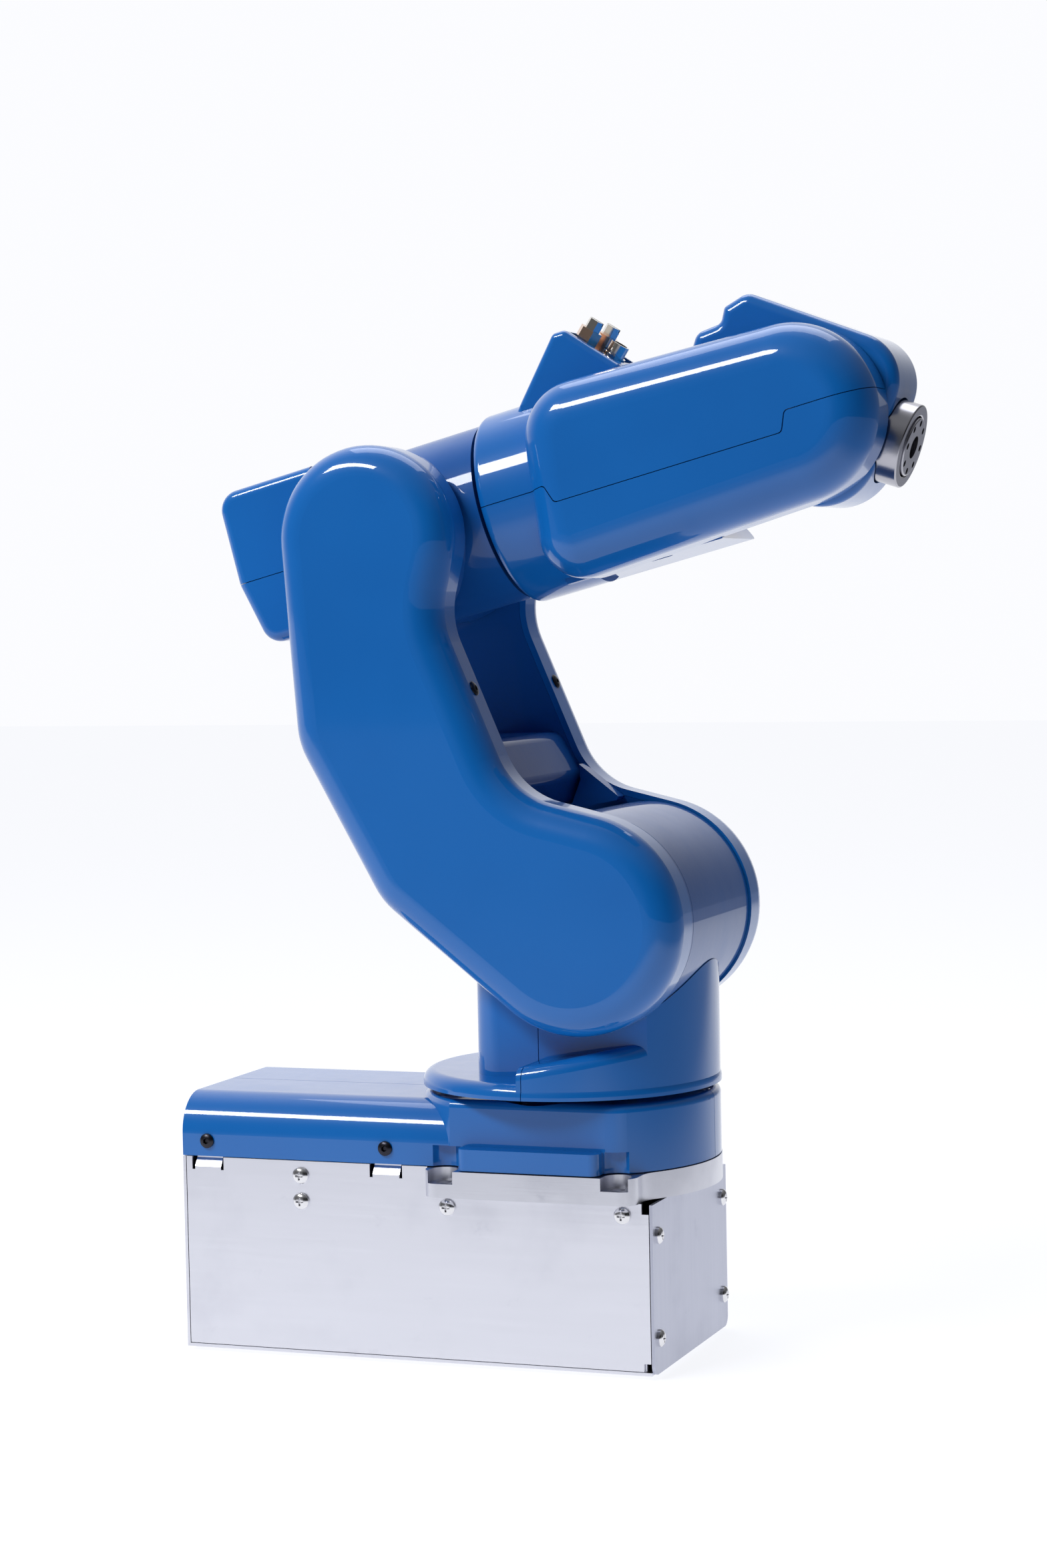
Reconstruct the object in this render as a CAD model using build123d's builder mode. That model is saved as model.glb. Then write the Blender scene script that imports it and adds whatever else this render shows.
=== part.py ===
from build123d import *
import math
import os

# Compact six axis robot arm. Millimetres, +Z up, +X forward, near side toward -Y.
# The origin is where the swivel axis meets the mounting face of the base flange.

# Axes of the arm
shoulder_offset = 20.0
shoulder_height = 103.0
lower_link = 165.0
fore_link = 165.0
tool_reach = 40.0

# Pose that the arm stands in, in degrees
lean_back = 29.0
fore_rise = 14.5
tool_dip = 18.0

# Clearances and walls
body_gap = 0.6
seam_gap = 0.3
slip_gap = 0.1
cover_wall = 2.2
sheet = 1.2

# Base box
box_rear = -145.0
box_front = 45.5
box_half_width = 46.0
box_depth = 64.5
panel_rise = 10.1
panel_notch = 3.0
motor_floor_gap = 9.3
end_screw_inset = 6.0
foot_inset = 10.0
foot_rear_inset = 17.0
foot_front_inset = 11.5
tab_width = 11.0
tab_top = 18.6
tab_drop = 5.0
hook_lip = 8.0
plate_corner = 4.0
cover_screw_inset = 10.6
cowl_screw_gap = 2.6
panel_screw_rear = 50.0
panel_screw_front = 10.5

# Base flange
flange_thickness = 10.0
flange_radius = 57.2
lug_half_x = 42.0
lug_half_y = 54.0
lug_corner = 6.0
flange_blend = 14.0
bolt_half_x = 34.5
bolt_half_y = 49.0
bolt_hole_radius = 2.75
bolt_sink_radius = 5.2
bolt_sink_depth = 4.8
reducer_bore = 30.0
cable_bore = 8.0
cable_window = 14.0

# Blue base covers
cover_top = 34.0
cover_edge_round = 15.0
cowl_radius = 57.0
cowl_half = 46.5
cowl_corner = 12.0
cowl_top = 36.0
cowl_round = 3.0
cowl_mouth = 46.0
step_half_x = 28.0
step_half_y = 53.5
step_top = 18.5
step_round = 3.5
bolt_scallop = 6.4

# Turret
skirt_radius = 57.5
skirt_bottom = 38.2
skirt_edge = 5.8
skirt_round = 4.5
column_half = 37.4
column_rear = -28.0
column_front_radius = 57.0
column_corner = 12.0
flare_rear = -2.0
flare_low = 50.0
flare_slope = 11.0
barrel_radius = 40.5
barrel_wall = 4.5
neck_radius = 25.0
neck_top = 84.0
column_top = 97.0
column_top_round = 6.0
neck_wall = 4.0
cap_ring = 4.2

# Lower arm
arm_depth = 22.0
arm_wall = 2.5
arm_round = 12.0
arm_plate = 4.0
shoulder_lobe = 41.5
elbow_lobe = 35.0
back_low = (43.8, 63.0)
back_high = (111.8, 63.0)
waist_high = (124.8, -10.4)
waist_low = (53.9, -2.8)
arm_bend = 30.0
bridge_low = 50.0
bridge_hump = 77.0
bridge_high = 90.0
bridge_front = -1.0
bridge_back = 58.0
bridge_wall = 3.0

# Elbow
elbow_body_radius = 33.0
neck_joint_radius = 34.4
neck_end = 40.2
elbow_end_wall = 5.0
r_motor_size = 36.0
r_motor_length = 58.0
elbow_rear = -24.0
elbow_wall = 4.0
motor_cover_rear = -65.5
motor_cover_top = 36.0
motor_cover_bottom = -25.5
motor_cover_half = 30.0
motor_cover_round = 8.0
motor_cover_slant = 6.0
motor_cover_edge = 4.0

# Forearm
root_start = 41.6
root_radius = 37.0
root_end = 72.0
fore_outer = 46.0
fore_inner = 17.2
fore_half_root = 37.3
fore_tip_radius = 33.0
fore_shell_top = 66.5
fore_shell_low = 58.0
fore_top_corner = 22.0
fore_low_corner = 17.0
fore_round = 16.0
seam_drop = 7.3
seam_slant = 3.0
seam_bend = 2.0
seam_jog_root = 71.0
seam_jog_tip = 167.0
far_half = 33.0
far_depth = 35.0
far_round = 11.0
swing_radius = 53.5
under_slots = (80.0, 97.0)
under_slot_size = (9.0, 3.0)
under_slot_y = -9.0
beam_plate = 4.0

# Fitting box on the forearm
wedge_half = 17.0
wedge_rear = 61.5
wedge_front = 102.0
wedge_peak_rear = 80.0
wedge_peak_front = 85.0
wedge_peak = 57.5
wedge_foot = 34.0
wedge_sink = 2.0
nut_flats = 8.0
nut_height = 6.5
plug_flats = 5.5
plug_height = 4.0
socket_radius = 4.6
socket_height = 7.0

# Wrist
wrist_near = 16.2
wrist_far = 18.0
wrist_face = 31.5
wrist_bottom = -31.0
wrist_round = 4.0
wrist_seam = 1.5
window_spots = ((23.0, 19.0), (9.0, -23.5))
window_size = (6.0, 4.0)
window_depth = 1.2
tool_radius = 15.75
hub_radius = 11.0
tool_bore = 4.25
tool_pitch = 9.0
tool_holes = 8
tool_hole_radius = 1.25

# Fasteners
pan_radius = 3.25
pan_height = 2.0
button_radius = 2.85
button_height = 1.6
screw_radius = 1.4
screw_length = 4.0
foot_radius = 3.6
foot_height = 1.6

# Motors
pilot_share = 0.36
pilot_height = 1.0
motor_body_share = 0.72
motor_cap_share = 0.86
motor_corner_share = 0.12
motor_opening_share = 0.72

os.makedirs("parts", exist_ok=True)


def run_from(start, angle, distance):
    """Point of the side view that lies a distance away at an angle above +X."""
    turn = math.radians(angle)
    return (start[0] + distance * math.cos(turn), start[1] + distance * math.sin(turn))


def side_plane(centre, angle, y):
    """Side view plane at y: x runs at the angle, the normal faces the near side."""
    turn = math.radians(angle)
    return Plane(
        origin=(centre[0], y, centre[1]),
        x_dir=(math.cos(turn), 0, math.sin(turn)),
        z_dir=(0, -1, 0),
    )


def far_plane(centre, y):
    """Side view plane at y whose normal faces the far side."""
    return Plane(origin=(centre[0], y, centre[1]), x_dir=(1, 0, 0), z_dir=(0, 1, 0))


def cross_plane(centre, angle, distance):
    """Plane across a link: x to the far side, y up, normal along the link."""
    turn = math.radians(angle)
    place = run_from(centre, angle, distance)
    return Plane(
        origin=(place[0], 0, place[1]),
        x_dir=(0, 1, 0),
        z_dir=(math.cos(turn), 0, math.sin(turn)),
    )


def tangent_point(outside, centre, radius, side):
    """Touch point on a circle of the line from an outside point; side is 1 or -1."""
    dx, dy = outside[0] - centre[0], outside[1] - centre[1]
    reach = math.hypot(dx, dy)
    turn = math.atan2(dy, dx) + side * math.acos(radius / reach)
    return (centre[0] + radius * math.cos(turn), centre[1] + radius * math.sin(turn))


def save(piece, label):
    """Label a finished piece and write its file."""
    piece.part.label = label
    export_step(piece.part, f"parts/{label}.step")


def servo_motor(plane, size, length, shaft_radius, shaft_length):
    """Square servo motor whose face lies on the plane and whose shaft points along it."""
    with BuildPart() as motor:
        with BuildSketch(plane) as body:
            Rectangle(size, size)
            fillet(body.vertices(), size * motor_corner_share)
        extrude(amount=-length * motor_body_share)
        with BuildSketch(plane.offset(-length * motor_body_share)):
            Rectangle(size * motor_cap_share, size * motor_cap_share)
        extrude(amount=-length * (1 - motor_body_share))
        with BuildSketch(plane):
            Circle(size * pilot_share)
        extrude(amount=pilot_height)
        with BuildSketch(plane):
            Circle(shaft_radius)
        extrude(amount=shaft_length)
    return motor


shoulder = (shoulder_offset, shoulder_height)
arm_angle = 90 + lean_back
elbow = run_from(shoulder, arm_angle, lower_link)
wrist = run_from(elbow, fore_rise, fore_link)
tool_angle = -tool_dip
arm_inner = column_half + body_gap
arm_outer = arm_inner + arm_depth
elbow_half = column_half
bolt_points = [(x, y) for x in (-bolt_half_x, bolt_half_x) for y in (-bolt_half_y, bolt_half_y)]

# Base flange, the machined casting that bolts to a table
with BuildPart() as base_flange:
    with BuildSketch() as flange_outline:
        Circle(flange_radius)
        Rectangle(2 * flange_radius, 2 * lug_half_y, mode=Mode.INTERSECT)
        RectangleRounded(2 * lug_half_x, 2 * lug_half_y, lug_corner)
        notches = flange_outline.vertices().filter_by(
            lambda v: abs(abs(v.X) - lug_half_x) < 0.01 and abs(v.Y) < lug_half_y - lug_corner - 0.01
        )
        fillet(notches, flange_blend)
    extrude(amount=flange_thickness)
    with Locations(*[(x, y, flange_thickness) for x, y in bolt_points]):
        CounterBoreHole(bolt_hole_radius, bolt_sink_radius, bolt_sink_depth)
    with BuildSketch(Plane.XY.offset(flange_thickness)):
        with GridLocations(2 * bolt_half_x, 2 * lug_half_y, 2, 2):
            Rectangle(2 * bolt_sink_radius, 2 * (lug_half_y - bolt_half_y))
    extrude(amount=-bolt_sink_depth, mode=Mode.SUBTRACT)
    Hole(reducer_bore)
    with Locations((-reducer_bore - cable_window, 0, 0)):
        Box(cable_window, 2 * cable_window, 3 * flange_thickness, mode=Mode.SUBTRACT)
save(base_flange, "base_flange")


# Box under the flange: two side panels, two ends and a tray
panel_bottom = -box_depth + sheet + seam_gap
panel_rear = box_rear + sheet + seam_gap
panel_step = -lug_half_x - body_gap
panel_top = flange_thickness + seam_gap / 2
cover_bottom = panel_top + seam_gap
tab_outer = box_half_width - cover_wall - slip_gap
tab_low = panel_top - sheet / 2
cover_screw_x = (box_rear + cover_screw_inset, -cowl_radius - cowl_screw_gap)
cover_screw_z = 16.4
panel_screw_x = (box_rear + panel_screw_rear, -34.7, box_front - panel_screw_front)
panel_screws = (
    (panel_screw_x[0], 4.5),
    (panel_screw_x[0], -5.4),
    (panel_screw_x[1], -5.0),
    (panel_screw_x[2], -5.0),
)
end_screw_y = box_half_width - end_screw_inset
end_screws = [(y, share * box_depth) for y in (end_screw_y, -end_screw_y) for share in (-0.795, -0.198)]

with BuildPart() as side_panel_near:
    with BuildSketch(Plane.XZ.offset(box_half_width - sheet)) as panel_outline:
        with BuildLine():
            Polyline(
                (panel_rear, panel_bottom),
                (box_front - panel_notch, panel_bottom),
                (box_front - panel_notch, panel_bottom + panel_notch),
                (box_front - seam_gap, panel_bottom + panel_notch),
                (box_front - seam_gap, -panel_notch - sheet),
                (box_front - panel_notch, -panel_notch - sheet),
                (box_front - panel_notch, -seam_gap),
                (panel_step, -seam_gap),
                (panel_step, panel_top),
                (panel_rear, panel_top),
                close=True,
            )
        make_face()
        with Locations(*[(x, panel_top) for x in cover_screw_x]):
            Rectangle(tab_width + 2 * sheet, 2 * tab_drop, mode=Mode.SUBTRACT)
        with Locations(*panel_screws):
            Circle(screw_radius + slip_gap, mode=Mode.SUBTRACT)
    extrude(amount=sheet)
    for x in cover_screw_x:
        with BuildSketch(Plane.XZ.offset(tab_outer - sheet)):
            with Locations((x, (tab_low + tab_top) / 2)):
                Rectangle(tab_width, tab_top - tab_low)
            with Locations((x, cover_screw_z)):
                Circle(screw_radius + slip_gap, mode=Mode.SUBTRACT)
        extrude(amount=sheet)
        with BuildSketch(Plane.YZ.offset(x - tab_width / 2)):
            with BuildLine():
                Polyline(
                    (-box_half_width, panel_top - tab_drop),
                    (-box_half_width + sheet, panel_top - tab_drop),
                    (-tab_outer + sheet, tab_low),
                    (-tab_outer, tab_low),
                    (-box_half_width, panel_top - tab_drop + sheet),
                    close=True,
                )
            make_face()
        extrude(amount=tab_width)
save(side_panel_near, "side_panel_near")

with BuildPart() as side_panel_far:
    mirror(side_panel_near.part, about=Plane.XZ)
save(side_panel_far, "side_panel_far")

with BuildPart() as front_plate:
    with BuildSketch(Plane.YZ.offset(box_front)) as plate_outline:
        with Locations((0, -box_depth / 2 - seam_gap)):
            Rectangle(2 * box_half_width, box_depth - 2 * seam_gap)
        fillet(plate_outline.vertices().group_by(Axis.Y)[0], plate_corner)
        with Locations(*end_screws):
            Circle(screw_radius + slip_gap, mode=Mode.SUBTRACT)
    extrude(amount=sheet)
save(front_plate, "front_plate")

# Cable sockets on the rear plate, placed and sized as shares of the plate
connector_centre = (-0.35 * box_half_width, -0.372 * box_depth)
connector_size = (0.74 * box_half_width, 0.34 * box_depth)
inlet_y = 0.305 * box_half_width
inlet_centres = ((inlet_y, -0.25 * box_depth), (inlet_y, -0.53 * box_depth))
inlet_radius = 0.0775 * box_depth
signal_centre = (0.7 * box_half_width, -0.39 * box_depth)
signal_radius = 0.093 * box_depth
connector_depth = 14.0
with BuildPart() as rear_plate:
    with BuildSketch(Plane.YZ.offset(box_rear)):
        with Locations((0, (panel_top - box_depth) / 2)):
            Rectangle(2 * box_half_width, panel_top + box_depth)
        with Locations(connector_centre):
            Rectangle(*connector_size, mode=Mode.SUBTRACT)
        with Locations(*inlet_centres):
            Circle(inlet_radius, mode=Mode.SUBTRACT)
        with Locations(signal_centre):
            Circle(signal_radius, mode=Mode.SUBTRACT)
        with Locations(*end_screws):
            Circle(screw_radius + slip_gap, mode=Mode.SUBTRACT)
    extrude(amount=sheet)
save(rear_plate, "rear_plate")

with BuildPart() as power_connector:
    with BuildSketch(Plane.YZ.offset(box_rear)):
        with Locations(connector_centre):
            RectangleRounded(connector_size[0] + 4, connector_size[1] + 4, 2.0)
            RectangleRounded(connector_size[0] - 6, connector_size[1] - 6, 1.5, mode=Mode.SUBTRACT)
    extrude(amount=-2.5)
    with BuildSketch(Plane.YZ.offset(box_rear)):
        with Locations(connector_centre):
            Rectangle(connector_size[0] - 2 * slip_gap, connector_size[1] - 2 * slip_gap)
            RectangleRounded(connector_size[0] - 6, connector_size[1] - 6, 1.5, mode=Mode.SUBTRACT)
    extrude(amount=connector_depth)
    with BuildSketch(Plane.YZ.offset(box_rear + connector_depth)):
        with Locations(connector_centre):
            Rectangle(connector_size[0] - 2 * slip_gap, connector_size[1] - 2 * slip_gap)
    extrude(amount=-3.0)
    with BuildSketch(Plane.YZ.offset(box_rear + connector_depth - 3)):
        with Locations(connector_centre):
            with GridLocations(5.0, 7.0, 5, 2):
                Circle(1.0)
    extrude(amount=-7.0)
save(power_connector, "power_connector")

with BuildPart() as air_inlets:
    for spot in inlet_centres:
        with BuildSketch(Plane.YZ.offset(box_rear)):
            with Locations(spot):
                RegularPolygon(inlet_radius + 1.5, 6, major_radius=False)
                Circle(2.0, mode=Mode.SUBTRACT)
        extrude(amount=-4.0)
        with BuildSketch(Plane.YZ.offset(box_rear - 4)):
            with Locations(spot):
                Circle(inlet_radius)
                Circle(2.0, mode=Mode.SUBTRACT)
        extrude(amount=-5.0)
        with BuildSketch(Plane.YZ.offset(box_rear)):
            with Locations(spot):
                Circle(inlet_radius - slip_gap)
                Circle(2.0, mode=Mode.SUBTRACT)
        extrude(amount=9.0)
save(air_inlets, "air_inlets")

with BuildPart() as signal_inlet:
    with BuildSketch(Plane.YZ.offset(box_rear)):
        with Locations(signal_centre):
            Circle(signal_radius + 2)
    extrude(amount=-2.0)
    with BuildSketch(Plane.YZ.offset(box_rear - 2)):
        with Locations(signal_centre):
            Circle(signal_radius - 0.6)
    extrude(amount=-4.5)
    with BuildSketch(Plane.YZ.offset(box_rear - 6.5)):
        with Locations(signal_centre):
            Circle(signal_radius - 1.8)
    extrude(amount=5.0, mode=Mode.SUBTRACT)
    with BuildSketch(Plane.YZ.offset(box_rear - 1.5)):
        with Locations(signal_centre):
            with PolarLocations(2.4, 6):
                Circle(0.5)
    extrude(amount=-3.0)
    with BuildSketch(Plane.YZ.offset(box_rear)):
        with Locations(signal_centre):
            Circle(signal_radius - slip_gap)
    extrude(amount=10.0)
save(signal_inlet, "signal_inlet")

foot_x = (box_rear + foot_rear_inset, panel_step, box_front - foot_front_inset)
foot_y = box_half_width - foot_inset
foot_spots = [(x, y) for x in foot_x for y in (-foot_y, foot_y)]
tray_half = box_half_width - sheet - seam_gap
with BuildPart() as bottom_tray:
    with BuildSketch(Plane.XY.offset(-box_depth)):
        with Locations(((box_rear + sheet + box_front) / 2, 0)):
            Rectangle(box_front - box_rear - sheet, 2 * box_half_width)
        with Locations(*foot_spots):
            Circle(screw_radius + slip_gap, mode=Mode.SUBTRACT)
    extrude(amount=sheet)
    with BuildSketch(Plane.XY.offset(-box_depth)):
        for side in (1, -1):
            with Locations(((box_rear + box_front) / 2, side * (tray_half - sheet / 2))):
                Rectangle(box_front - box_rear - 4 * sheet, sheet)
        with Locations((box_front - sheet / 2, 0)):
            Rectangle(sheet, 2 * tray_half - 6 * sheet)
    extrude(amount=hook_lip)
save(bottom_tray, "bottom_tray")


def screw_group(planes, head_radius, head_height, dome):
    """Domed screws, one on each plane, with the head outward and the shank inward."""
    with BuildPart() as screws:
        for plane in planes:
            with BuildSketch(plane):
                Circle(screw_radius)
            extrude(amount=-screw_length)
            with BuildSketch(plane):
                Circle(head_radius)
            extrude(amount=head_height)
            crown = screws.edges(Select.LAST).filter_by(GeomType.CIRCLE)
            rim = [e for e in crown if abs(plane.to_local_coords(e.center()).Z - head_height) < 0.01]
            fillet(rim, dome)
    return screws


side_screw_planes = [
    Plane(origin=(x, side * box_half_width, z), z_dir=(0, side, 0))
    for side in (-1, 1)
    for x, z in panel_screws
]
end_screw_planes = [
    Plane(origin=(box_front + sheet, y, z), z_dir=(1, 0, 0)) for y, z in end_screws
] + [Plane(origin=(box_rear, y, z), z_dir=(-1, 0, 0)) for y, z in end_screws]
box_screws = screw_group(side_screw_planes + end_screw_planes, pan_radius, pan_height, 1.4)
save(box_screws, "box_screws")

foot_planes = [Plane(origin=(x, y, -box_depth), z_dir=(0, 0, -1)) for x, y in foot_spots]
foot_screws = screw_group(foot_planes, foot_radius, foot_height, 1.0)
save(foot_screws, "foot_screws")

cover_screw_planes = [
    Plane(origin=(x, side * box_half_width, cover_screw_z), z_dir=(0, side, 0))
    for side in (-1, 1)
    for x in cover_screw_x
]
cover_screws = screw_group(cover_screw_planes, button_radius, button_height, 0.9)
save(cover_screws, "cover_screws")


# Blue base covers: two halves that meet along the middle of the arm
def base_cover_form(inset):
    """Outer form of the base cover, drawn in by inset on every face but the open foot."""
    with BuildPart() as form:
        with BuildSketch(Plane.YZ.offset(box_rear + inset)) as section:
            with Locations((0, (cover_bottom + cover_top - inset) / 2)):
                Rectangle(2 * (box_half_width - inset), cover_top - inset - cover_bottom)
            fillet(section.vertices().group_by(Axis.Y)[-1], cover_edge_round - inset)
        extrude(amount=-(box_rear + inset))
        with BuildSketch(Plane.XY.offset(cover_bottom)):
            Circle(cowl_radius - inset)
            Rectangle(2 * cowl_radius, 2 * (cowl_half - inset), mode=Mode.INTERSECT)
        extrude(amount=cowl_top - inset - cover_bottom)
        if inset == 0:
            uprights = form.edges().filter_by(Axis.Z).filter_by(lambda e: abs(e.center().X) > step_half_x)
            fillet(uprights.filter_by(lambda e: e.center().X > 0), cowl_corner)
            fillet(form.faces().sort_by(Axis.Z)[-1].edges(), cowl_round)
        with BuildSketch(Plane.XY.offset(cover_bottom)) as block:
            Rectangle(2 * (step_half_x - inset), 2 * (step_half_y - inset))
            fillet(block.vertices(), step_round)
        extrude(amount=step_top - inset - cover_bottom)
        with BuildSketch(Plane.XY.offset(cover_bottom)):
            with Locations(*bolt_points):
                Circle(bolt_scallop + inset)
        extrude(amount=step_top + inset - cover_bottom, mode=Mode.SUBTRACT)
    return form


cover_outside = base_cover_form(0)
cover_inside = base_cover_form(cover_wall)
with BuildPart() as base_cover_near:
    add(cover_outside.part)
    add(cover_inside.part, mode=Mode.SUBTRACT)
    with BuildSketch(Plane.XY.offset(cover_bottom)):
        Circle(cowl_mouth)
    extrude(amount=cowl_top, mode=Mode.SUBTRACT)
    with Locations(*[Plane(origin=(x, -box_half_width, cover_screw_z), z_dir=(0, -1, 0)) for x in cover_screw_x]):
        Hole(screw_radius + slip_gap, depth=2 * cover_wall)
    split(bisect_by=Plane.XZ.offset(seam_gap / 2), keep=Keep.TOP)
save(base_cover_near, "base_cover_near")

with BuildPart() as base_cover_far:
    mirror(base_cover_near.part, about=Plane.XZ)
save(base_cover_far, "base_cover_far")


# Swivel drive in the box: motor under the flange, reducer in its bore
reducer_depth = 14.0
reducer_ring_wall = 9.0
reducer_back = 3.0
s_motor_size = 42.0
l_motor_size = 44.0
output_radius = reducer_bore - reducer_ring_wall
reducer_bottom = flange_thickness - reducer_depth
drive_shaft_radius = 4.0
drive_shaft_length = 6.0
s_motor_length = reducer_bottom + box_depth - sheet - motor_floor_gap
s_motor_plane = Plane.XY.offset(reducer_bottom)
s_motor = servo_motor(s_motor_plane, s_motor_size, s_motor_length, drive_shaft_radius, drive_shaft_length)
save(s_motor, "s_motor")

with BuildPart() as s_reducer:
    with BuildSketch(Plane.XY.offset(reducer_bottom)):
        Circle(reducer_bore - slip_gap)
        Circle(output_radius + slip_gap, mode=Mode.SUBTRACT)
    extrude(amount=reducer_depth)
    with BuildSketch(Plane.XY.offset(flange_thickness)):
        Circle(reducer_bore + 5)
        Circle(output_radius + slip_gap, mode=Mode.SUBTRACT)
    extrude(amount=4.0)
    with BuildSketch(Plane.XY.offset(reducer_bottom)):
        Circle(reducer_bore - slip_gap)
        Circle(s_motor_size * pilot_share + slip_gap, mode=Mode.SUBTRACT)
    extrude(amount=reducer_back)
save(s_reducer, "s_reducer")

# Turret: frame with the shoulder barrel, front and rear cover, and the cap on the barrel
with BuildPart() as turret_frame:
    with BuildSketch(side_plane(shoulder, 0, column_half)):
        Circle(barrel_radius)
    extrude(amount=2 * column_half - cap_ring)
    with BuildSketch(Plane.XY.offset(skirt_bottom)):
        Circle(neck_radius)
    extrude(amount=neck_top - skirt_bottom)
    with BuildSketch(side_plane(shoulder, 0, column_half)):
        Circle(barrel_radius - barrel_wall)
    extrude(amount=2 * column_half, mode=Mode.SUBTRACT)
    with BuildSketch(Plane.XY.offset(skirt_bottom + neck_wall)):
        Circle(neck_radius - neck_wall)
    extrude(amount=neck_top - skirt_bottom - 2 * neck_wall, mode=Mode.SUBTRACT)
    with BuildSketch(Plane.XY.offset(reducer_bottom + reducer_back + body_gap)):
        Circle(output_radius)
    extrude(amount=skirt_bottom - reducer_bottom - reducer_back - body_gap)
    with BuildSketch(Plane.XY.offset(reducer_bottom)):
        Circle(cable_bore)
    extrude(amount=skirt_bottom + neck_wall - reducer_bottom, mode=Mode.SUBTRACT)
save(turret_frame, "turret_frame")

with BuildPart() as barrel_cap:
    with BuildSketch(side_plane(shoulder, 0, -column_half + cap_ring - seam_gap)):
        Circle(barrel_radius)
        Circle(reducer_bore + slip_gap, mode=Mode.SUBTRACT)
    extrude(amount=cap_ring - seam_gap)
    rims = barrel_cap.edges().filter_by(GeomType.CIRCLE).group_by(Axis.Y)[0]
    fillet(rims.sort_by(SortBy.RADIUS)[-1], 0.8)
save(barrel_cap, "barrel_cap")


def turret_form(inset):
    """Outer form of the turret covers, drawn in by inset on every face but the foot."""
    slope = math.radians(flare_slope)
    slope_plane = Plane(
        origin=(flare_rear, 0, flare_low - inset),
        x_dir=(math.cos(slope), 0, math.sin(slope)),
        z_dir=(-math.sin(slope), 0, math.cos(slope)),
    )
    with BuildPart() as flare:
        with BuildSketch(Plane.XY.offset(skirt_bottom)):
            Circle(column_front_radius - inset)
            with Locations((flare_rear + inset - skirt_radius, 0)):
                Rectangle(2 * skirt_radius, 2 * skirt_radius, mode=Mode.SUBTRACT)
        extrude(amount=shoulder_height - skirt_bottom)
        split(bisect_by=slope_plane, keep=Keep.BOTTOM)
        if inset == 0:
            slopes = flare.faces().filter_by(lambda f: f.normal_at().Z > 0.9)
            fillet(slopes.edges().filter_by(GeomType.ELLIPSE), skirt_round)
    with BuildPart() as form:
        with BuildSketch(Plane.XY.offset(skirt_bottom)):
            Circle(skirt_radius - inset)
        extrude(amount=skirt_edge - inset)
        if inset == 0:
            fillet(form.edges().filter_by(GeomType.CIRCLE).group_by(Axis.Z)[-1], skirt_round)
        with BuildSketch(Plane.XY.offset(skirt_bottom)) as column:
            with Locations(((column_rear + inset + column_front_radius) / 2, 0)):
                Rectangle(column_front_radius - column_rear - inset, 2 * (column_half - inset))
            fillet(column.vertices().group_by(Axis.X)[0], column_corner - inset)
            Circle(column_front_radius - inset, mode=Mode.INTERSECT)
        extrude(amount=column_top - inset - skirt_bottom)
        if inset == 0:
            fillet(form.faces().sort_by(Axis.Z)[-1].edges().sort_by(Axis.X)[0], column_top_round)
        add(flare.part)
    return form


turret_outside = turret_form(0)
turret_inside = turret_form(cover_wall)
with BuildPart() as turret_skin:
    add(turret_outside.part)
    add(turret_inside.part, mode=Mode.SUBTRACT)
    with BuildSketch(side_plane(shoulder, 0, skirt_radius)):
        Circle(barrel_radius + seam_gap)
    extrude(amount=2 * skirt_radius, mode=Mode.SUBTRACT)
with BuildPart() as turret_front_cover:
    add(turret_skin.part)
    split(bisect_by=Plane.YZ.offset(seam_gap / 2), keep=Keep.TOP)
save(turret_front_cover, "turret_front_cover")
with BuildPart() as turret_rear_cover:
    add(turret_skin.part)
    split(bisect_by=Plane.YZ.offset(-seam_gap / 2), keep=Keep.BOTTOM)
save(turret_rear_cover, "turret_rear_cover")


# Shoulder drive: motor in the barrel, reducer at its near end, support bearing at the far end
reducer_width = 14.0
l_motor_y = -column_half + reducer_width
bearing_width = 9.0
motor_end_gap = 7.8
l_motor_length = 2 * column_half - reducer_width - bearing_width - motor_end_gap
l_motor = servo_motor(
    side_plane(shoulder, 0, l_motor_y), l_motor_size, l_motor_length, drive_shaft_radius, drive_shaft_length
)
save(l_motor, "l_motor")


def reducer_ring(plane, radius, width, bore, back, back_bore):
    """Fixed ring of a strain wave reducer that runs back from the plane."""
    with BuildPart() as ring:
        with BuildSketch(plane):
            Circle(radius)
            Circle(bore, mode=Mode.SUBTRACT)
        extrude(amount=-width)
        with BuildSketch(plane.offset(-width)):
            Circle(radius)
            Circle(back_bore, mode=Mode.SUBTRACT)
        extrude(amount=back)
    return ring


l_reducer = reducer_ring(
    side_plane(shoulder, 0, -column_half), reducer_bore, reducer_width, output_radius + slip_gap, reducer_back,
    l_motor_size * pilot_share + slip_gap
)
save(l_reducer, "l_reducer")

stub_radius = 15.0
l_bearing = reducer_ring(
    far_plane(shoulder, column_half), barrel_radius - barrel_wall - slip_gap, bearing_width,
    stub_radius + slip_gap, 2.0, stub_radius + slip_gap
)
save(l_bearing, "l_bearing")


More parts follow.
